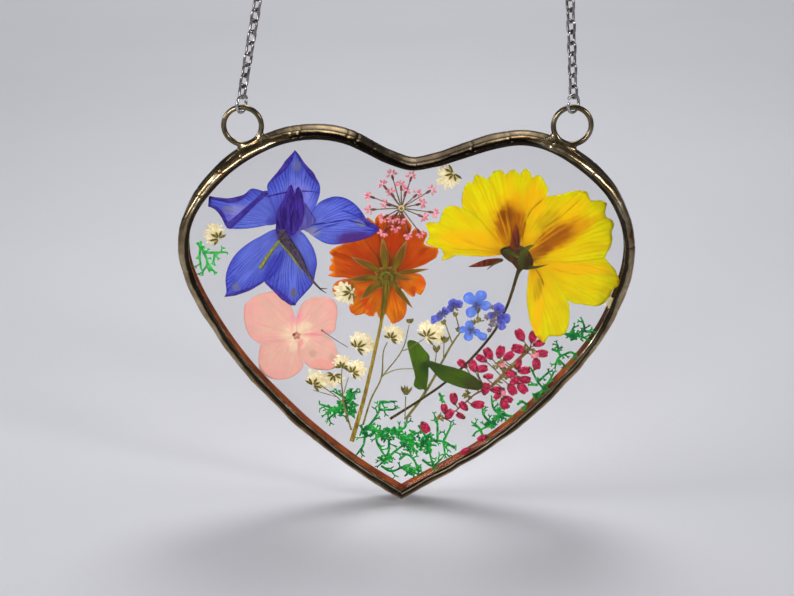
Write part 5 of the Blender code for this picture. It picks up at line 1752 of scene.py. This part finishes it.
moss = {  # node, layer, box, reach of a shoot, seed, trunks, pads as (x, z, half width, half height)
    "mossLowLeft": ("moss_low_left", 4, (-23.5, -33, -12.6, -22), 1.5, 41, [
        [(-16, -31.6), (-16.2, -28.4), (-16.6, -25.6), (-15.4, -23.0)],
        [(-16.2, -28), (-20, -27.6), (-23, -26.6)], [(-16.6, -24.6), (-18.6, -23.4)],
        [(-18, -28), (-20.8, -30.4)], [(-16, -24.4), (-13.8, -22.8)], [(-19.6, -27.8), (-21.4, -29.2)]],
        [(-16.1, -27.7, 2.5, 2.7), (-19.8, -28.3, 1.7, 1.2), (-15.6, -24.0, 1.6, 1.0)]),
    "mossBottom": ("moss_bottom", 4, (-14, -49.4, 13.4, -25.6), 1.6, 42, [
        [(-11.0, -33.8), (-8.9, -31.1), (-7.5, -28.5), (-7.3, -26.2)], [(-7.3, -28.1), (-3.7, -28.1)],
        [(-7.5, -26.1), (-4.8, -25.9)], [(-11.3, -34.9), (-11.7, -38.4), (-13.2, -40.9)],
        [(-11.0, -33.8), (-4.1, -34.9), (-1.3, -35.7), (1.8, -37.6)],
        [(-4.8, -36.4), (-5.0, -41.0), (-6.9, -44.1)], [(-6.9, -44.1), (-3.4, -40.7), (-0.6, -38.4)],
        [(-8.2, -35.6), (-8.0, -38), (-6.5, -41.0)],
        [(-2.0, -43.0), (0.1, -41.4), (2.2, -43.4), (2.9, -46.1)],
        [(-6.9, -44.9), (-4.1, -46.5), (-0.6, -44.9)],
        [(3.2, -32.7), (4.9, -35.7), (6.3, -41.0), (7.1, -44.5)],
        [(6.3, -37.2), (10.1, -37.6), (12.9, -39.5)], [(8.4, -37.6), (8.3, -32.3), (7.8, -30.4)],
        [(10.1, -37.2), (11.8, -33.4)], [(4.3, -43.0), (7.1, -44.9), (9.6, -42.6)],
        [(-3, -34.4), (-0.6, -33.4), (0.0, -31.4)], [(10, -37.6), (10.4, -40.8)]],
        [(-4.4, -35.1, 3.6, 2.1), (1.8, -37.6, 3.2, 3.1), (-10.4, -34.2, 2.2, 1.7), (1.2, -46.0, 2.6, 1.5),
         (5.8, -38.6, 1.4, 3.0), (-5.6, -42.8, 1.5, 0.9)]),
    "mossLowRight": ("moss_low_right", 4, (17.6, -37, 30, -24), 1.3, 43, [
        [(28.7, -30.1), (25.6, -29.9), (22.9, -32.4), (18.8, -34.7)],
        [(25.6, -29.7), (23.5, -27.9), (22.8, -24.9)], [(22.9, -32.4), (20.8, -29.7), (20.4, -27.9)],
        [(23.9, -28.2), (26.2, -27.5)], [(19.8, -33.8), (18.6, -32.4)], [(20, -34), (20.6, -36)]],
        [(25.8, -30.4, 2.0, 0.7), (22.6, -32.4, 1.2, 0.9)]),
    "mossTopRight": ("moss_top_right", 4, (38, -16, 51, -1.6), 1.2, 44, [
        [(41.2, -5.7), (43.3, -6.8), (46.0, -6.8), (48.8, -8.3)],
        [(46.0, -6.5), (46.9, -4.6), (46.1, -2.1)], [(47.0, -5.4), (50.3, -5.7)], [(43, -6.6), (44, -4.4)],
        [(38.5, -10.5), (40.1, -11.2), (41.1, -12.3), (43.5, -11.4), (44.9, -12.3)],
        [(41.1, -12.3), (40.2, -13.4), (39.6, -15.2)], [(40.2, -13.4), (41.9, -15.0)],
        [(40.3, -11.2), (40.0, -9.4)]],
        [(44.6, -6.9, 2.4, 0.8)]),
    "mossLeft": (None, 3, (-56.2, 10.4, -46.6, 20.4), 1.2, 45, [
        [(-54.3, 19.3), (-53.0, 17.2), (-51.9, 13.8), (-53.3, 11.3)],
        [(-53.1, 16.6), (-50.4, 16.6), (-47.1, 16.7)], [(-51.9, 13.8), (-50.6, 11.8)],
        [(-49.8, 16.6), (-50.2, 14.5)], [(-53.3, 19.7), (-53.8, 15.9), (-53.6, 12.4)]],
        []),
    "mossRight": (None, 4, (32.6, -29, 40, -15.6), 1.0, 46, [
        [(34.6, -25.6), (35.0, -23.4), (36.7, -22.3), (34.9, -19.7), (33.1, -16.0)],
        [(36.7, -22.3), (38.1, -23.0)], [(36.4, -21.9), (38.0, -20.0), (39.1, -17.4)],
        [(35.3, -19.7), (37.9, -17.1)], [(35.1, -20.8), (32.9, -20.8)]],
        [(35.2, -24.2, 0.8, 1.4)]),
    "mossCurl": (None, 4, (29, -28.4, 32.4, -25.4), 0.8, 47,
        [[(29.7, -26.6), (31.0, -25.8), (32.1, -26.6), (31.9, -28.1)]],
        []),
    "mossCrumb": (None, 4, (7.6, -26, 10.4, -22.6), 0.9, 48, [[(8.7, -23.2), (9.2, -24.4), (9.9, -25.6)]],
        []),
}
mossDeep = plainPlant("mossDeep", (4, 82, 40), (26, 148, 48), scale=0.34, specks=(60, 172, 74))
mossBright = plainPlant("mossBright", (26, 146, 58), (70, 190, 86), scale=0.9)


def makeMoss():
    for name, (node, layer, box, reach, seed, trunks, pads) in moss.items():
        random.seed(seed)
        paths = []

        def grow(point, heading, length, thick, forks):
            path = [(point.x, point.y, thick)]
            for k in range(3):
                heading += random.uniform(-0.3, 0.3)
                point = point + towards(heading) * length / 3
                point.x = clamped(point.x, box[0], box[2])
                point.y = clamped(point.y, box[1], box[3])
                path.append((point.x, point.y, thick * (1 - 0.1 * (k + 1))))
            paths.append(path)
            if forks:
                for turn in (random.uniform(0.4, 0.8), -random.uniform(0.4, 0.8)):
                    shorter = length * random.uniform(0.5, 0.75)
                    grow(point, heading + turn, shorter, thick * 0.8, forks - 1)

        for trunk in trunks:
            smooth = smoothPath(trunk, 3)
            last = len(smooth) - 1
            paths.append([(p.x, p.y, 0.40 - 0.10 * k / last) for k, p in enumerate(smooth)])
            for k in range(1, last + 1, 2):
                ahead = smooth[k] - smooth[k - 1]
                heading = math.atan2(ahead.y, ahead.x)
                heading += random.choice((-1, 1)) * random.uniform(0.5, 1.2)
                grow(smooth[k].copy(), heading, reach * random.uniform(0.7, 1.1), 0.27, 1)
            ahead = smooth[-1] - smooth[-2]
            grow(smooth[-1].copy(), math.atan2(ahead.y, ahead.x), reach * 0.8, 0.26, 1)
        for x, z, half, tall in pads:  # short fat crumbs piled close
            for k in range(int(9 * half * tall) + 6):
                angle, far = random.uniform(0, math.tau), math.sqrt(random.uniform(0, 1))
                point = Vector((x + half * far * math.cos(angle), z + tall * far * math.sin(angle)))
                grow(point, random.uniform(0, math.tau), 1.1, 0.34, 0)
        obj = pressStems(paths, layer, flat=0.62, resolution=1)
        parts = inMaterial(mossBright if name == "mossLeft" else mossDeep, obj)
        pressed(parts, name, "moss", *([node] if node else []))


makeLeaves()
makeBuds()
makeMoss()
print("leaves, buds and moss are pressed")
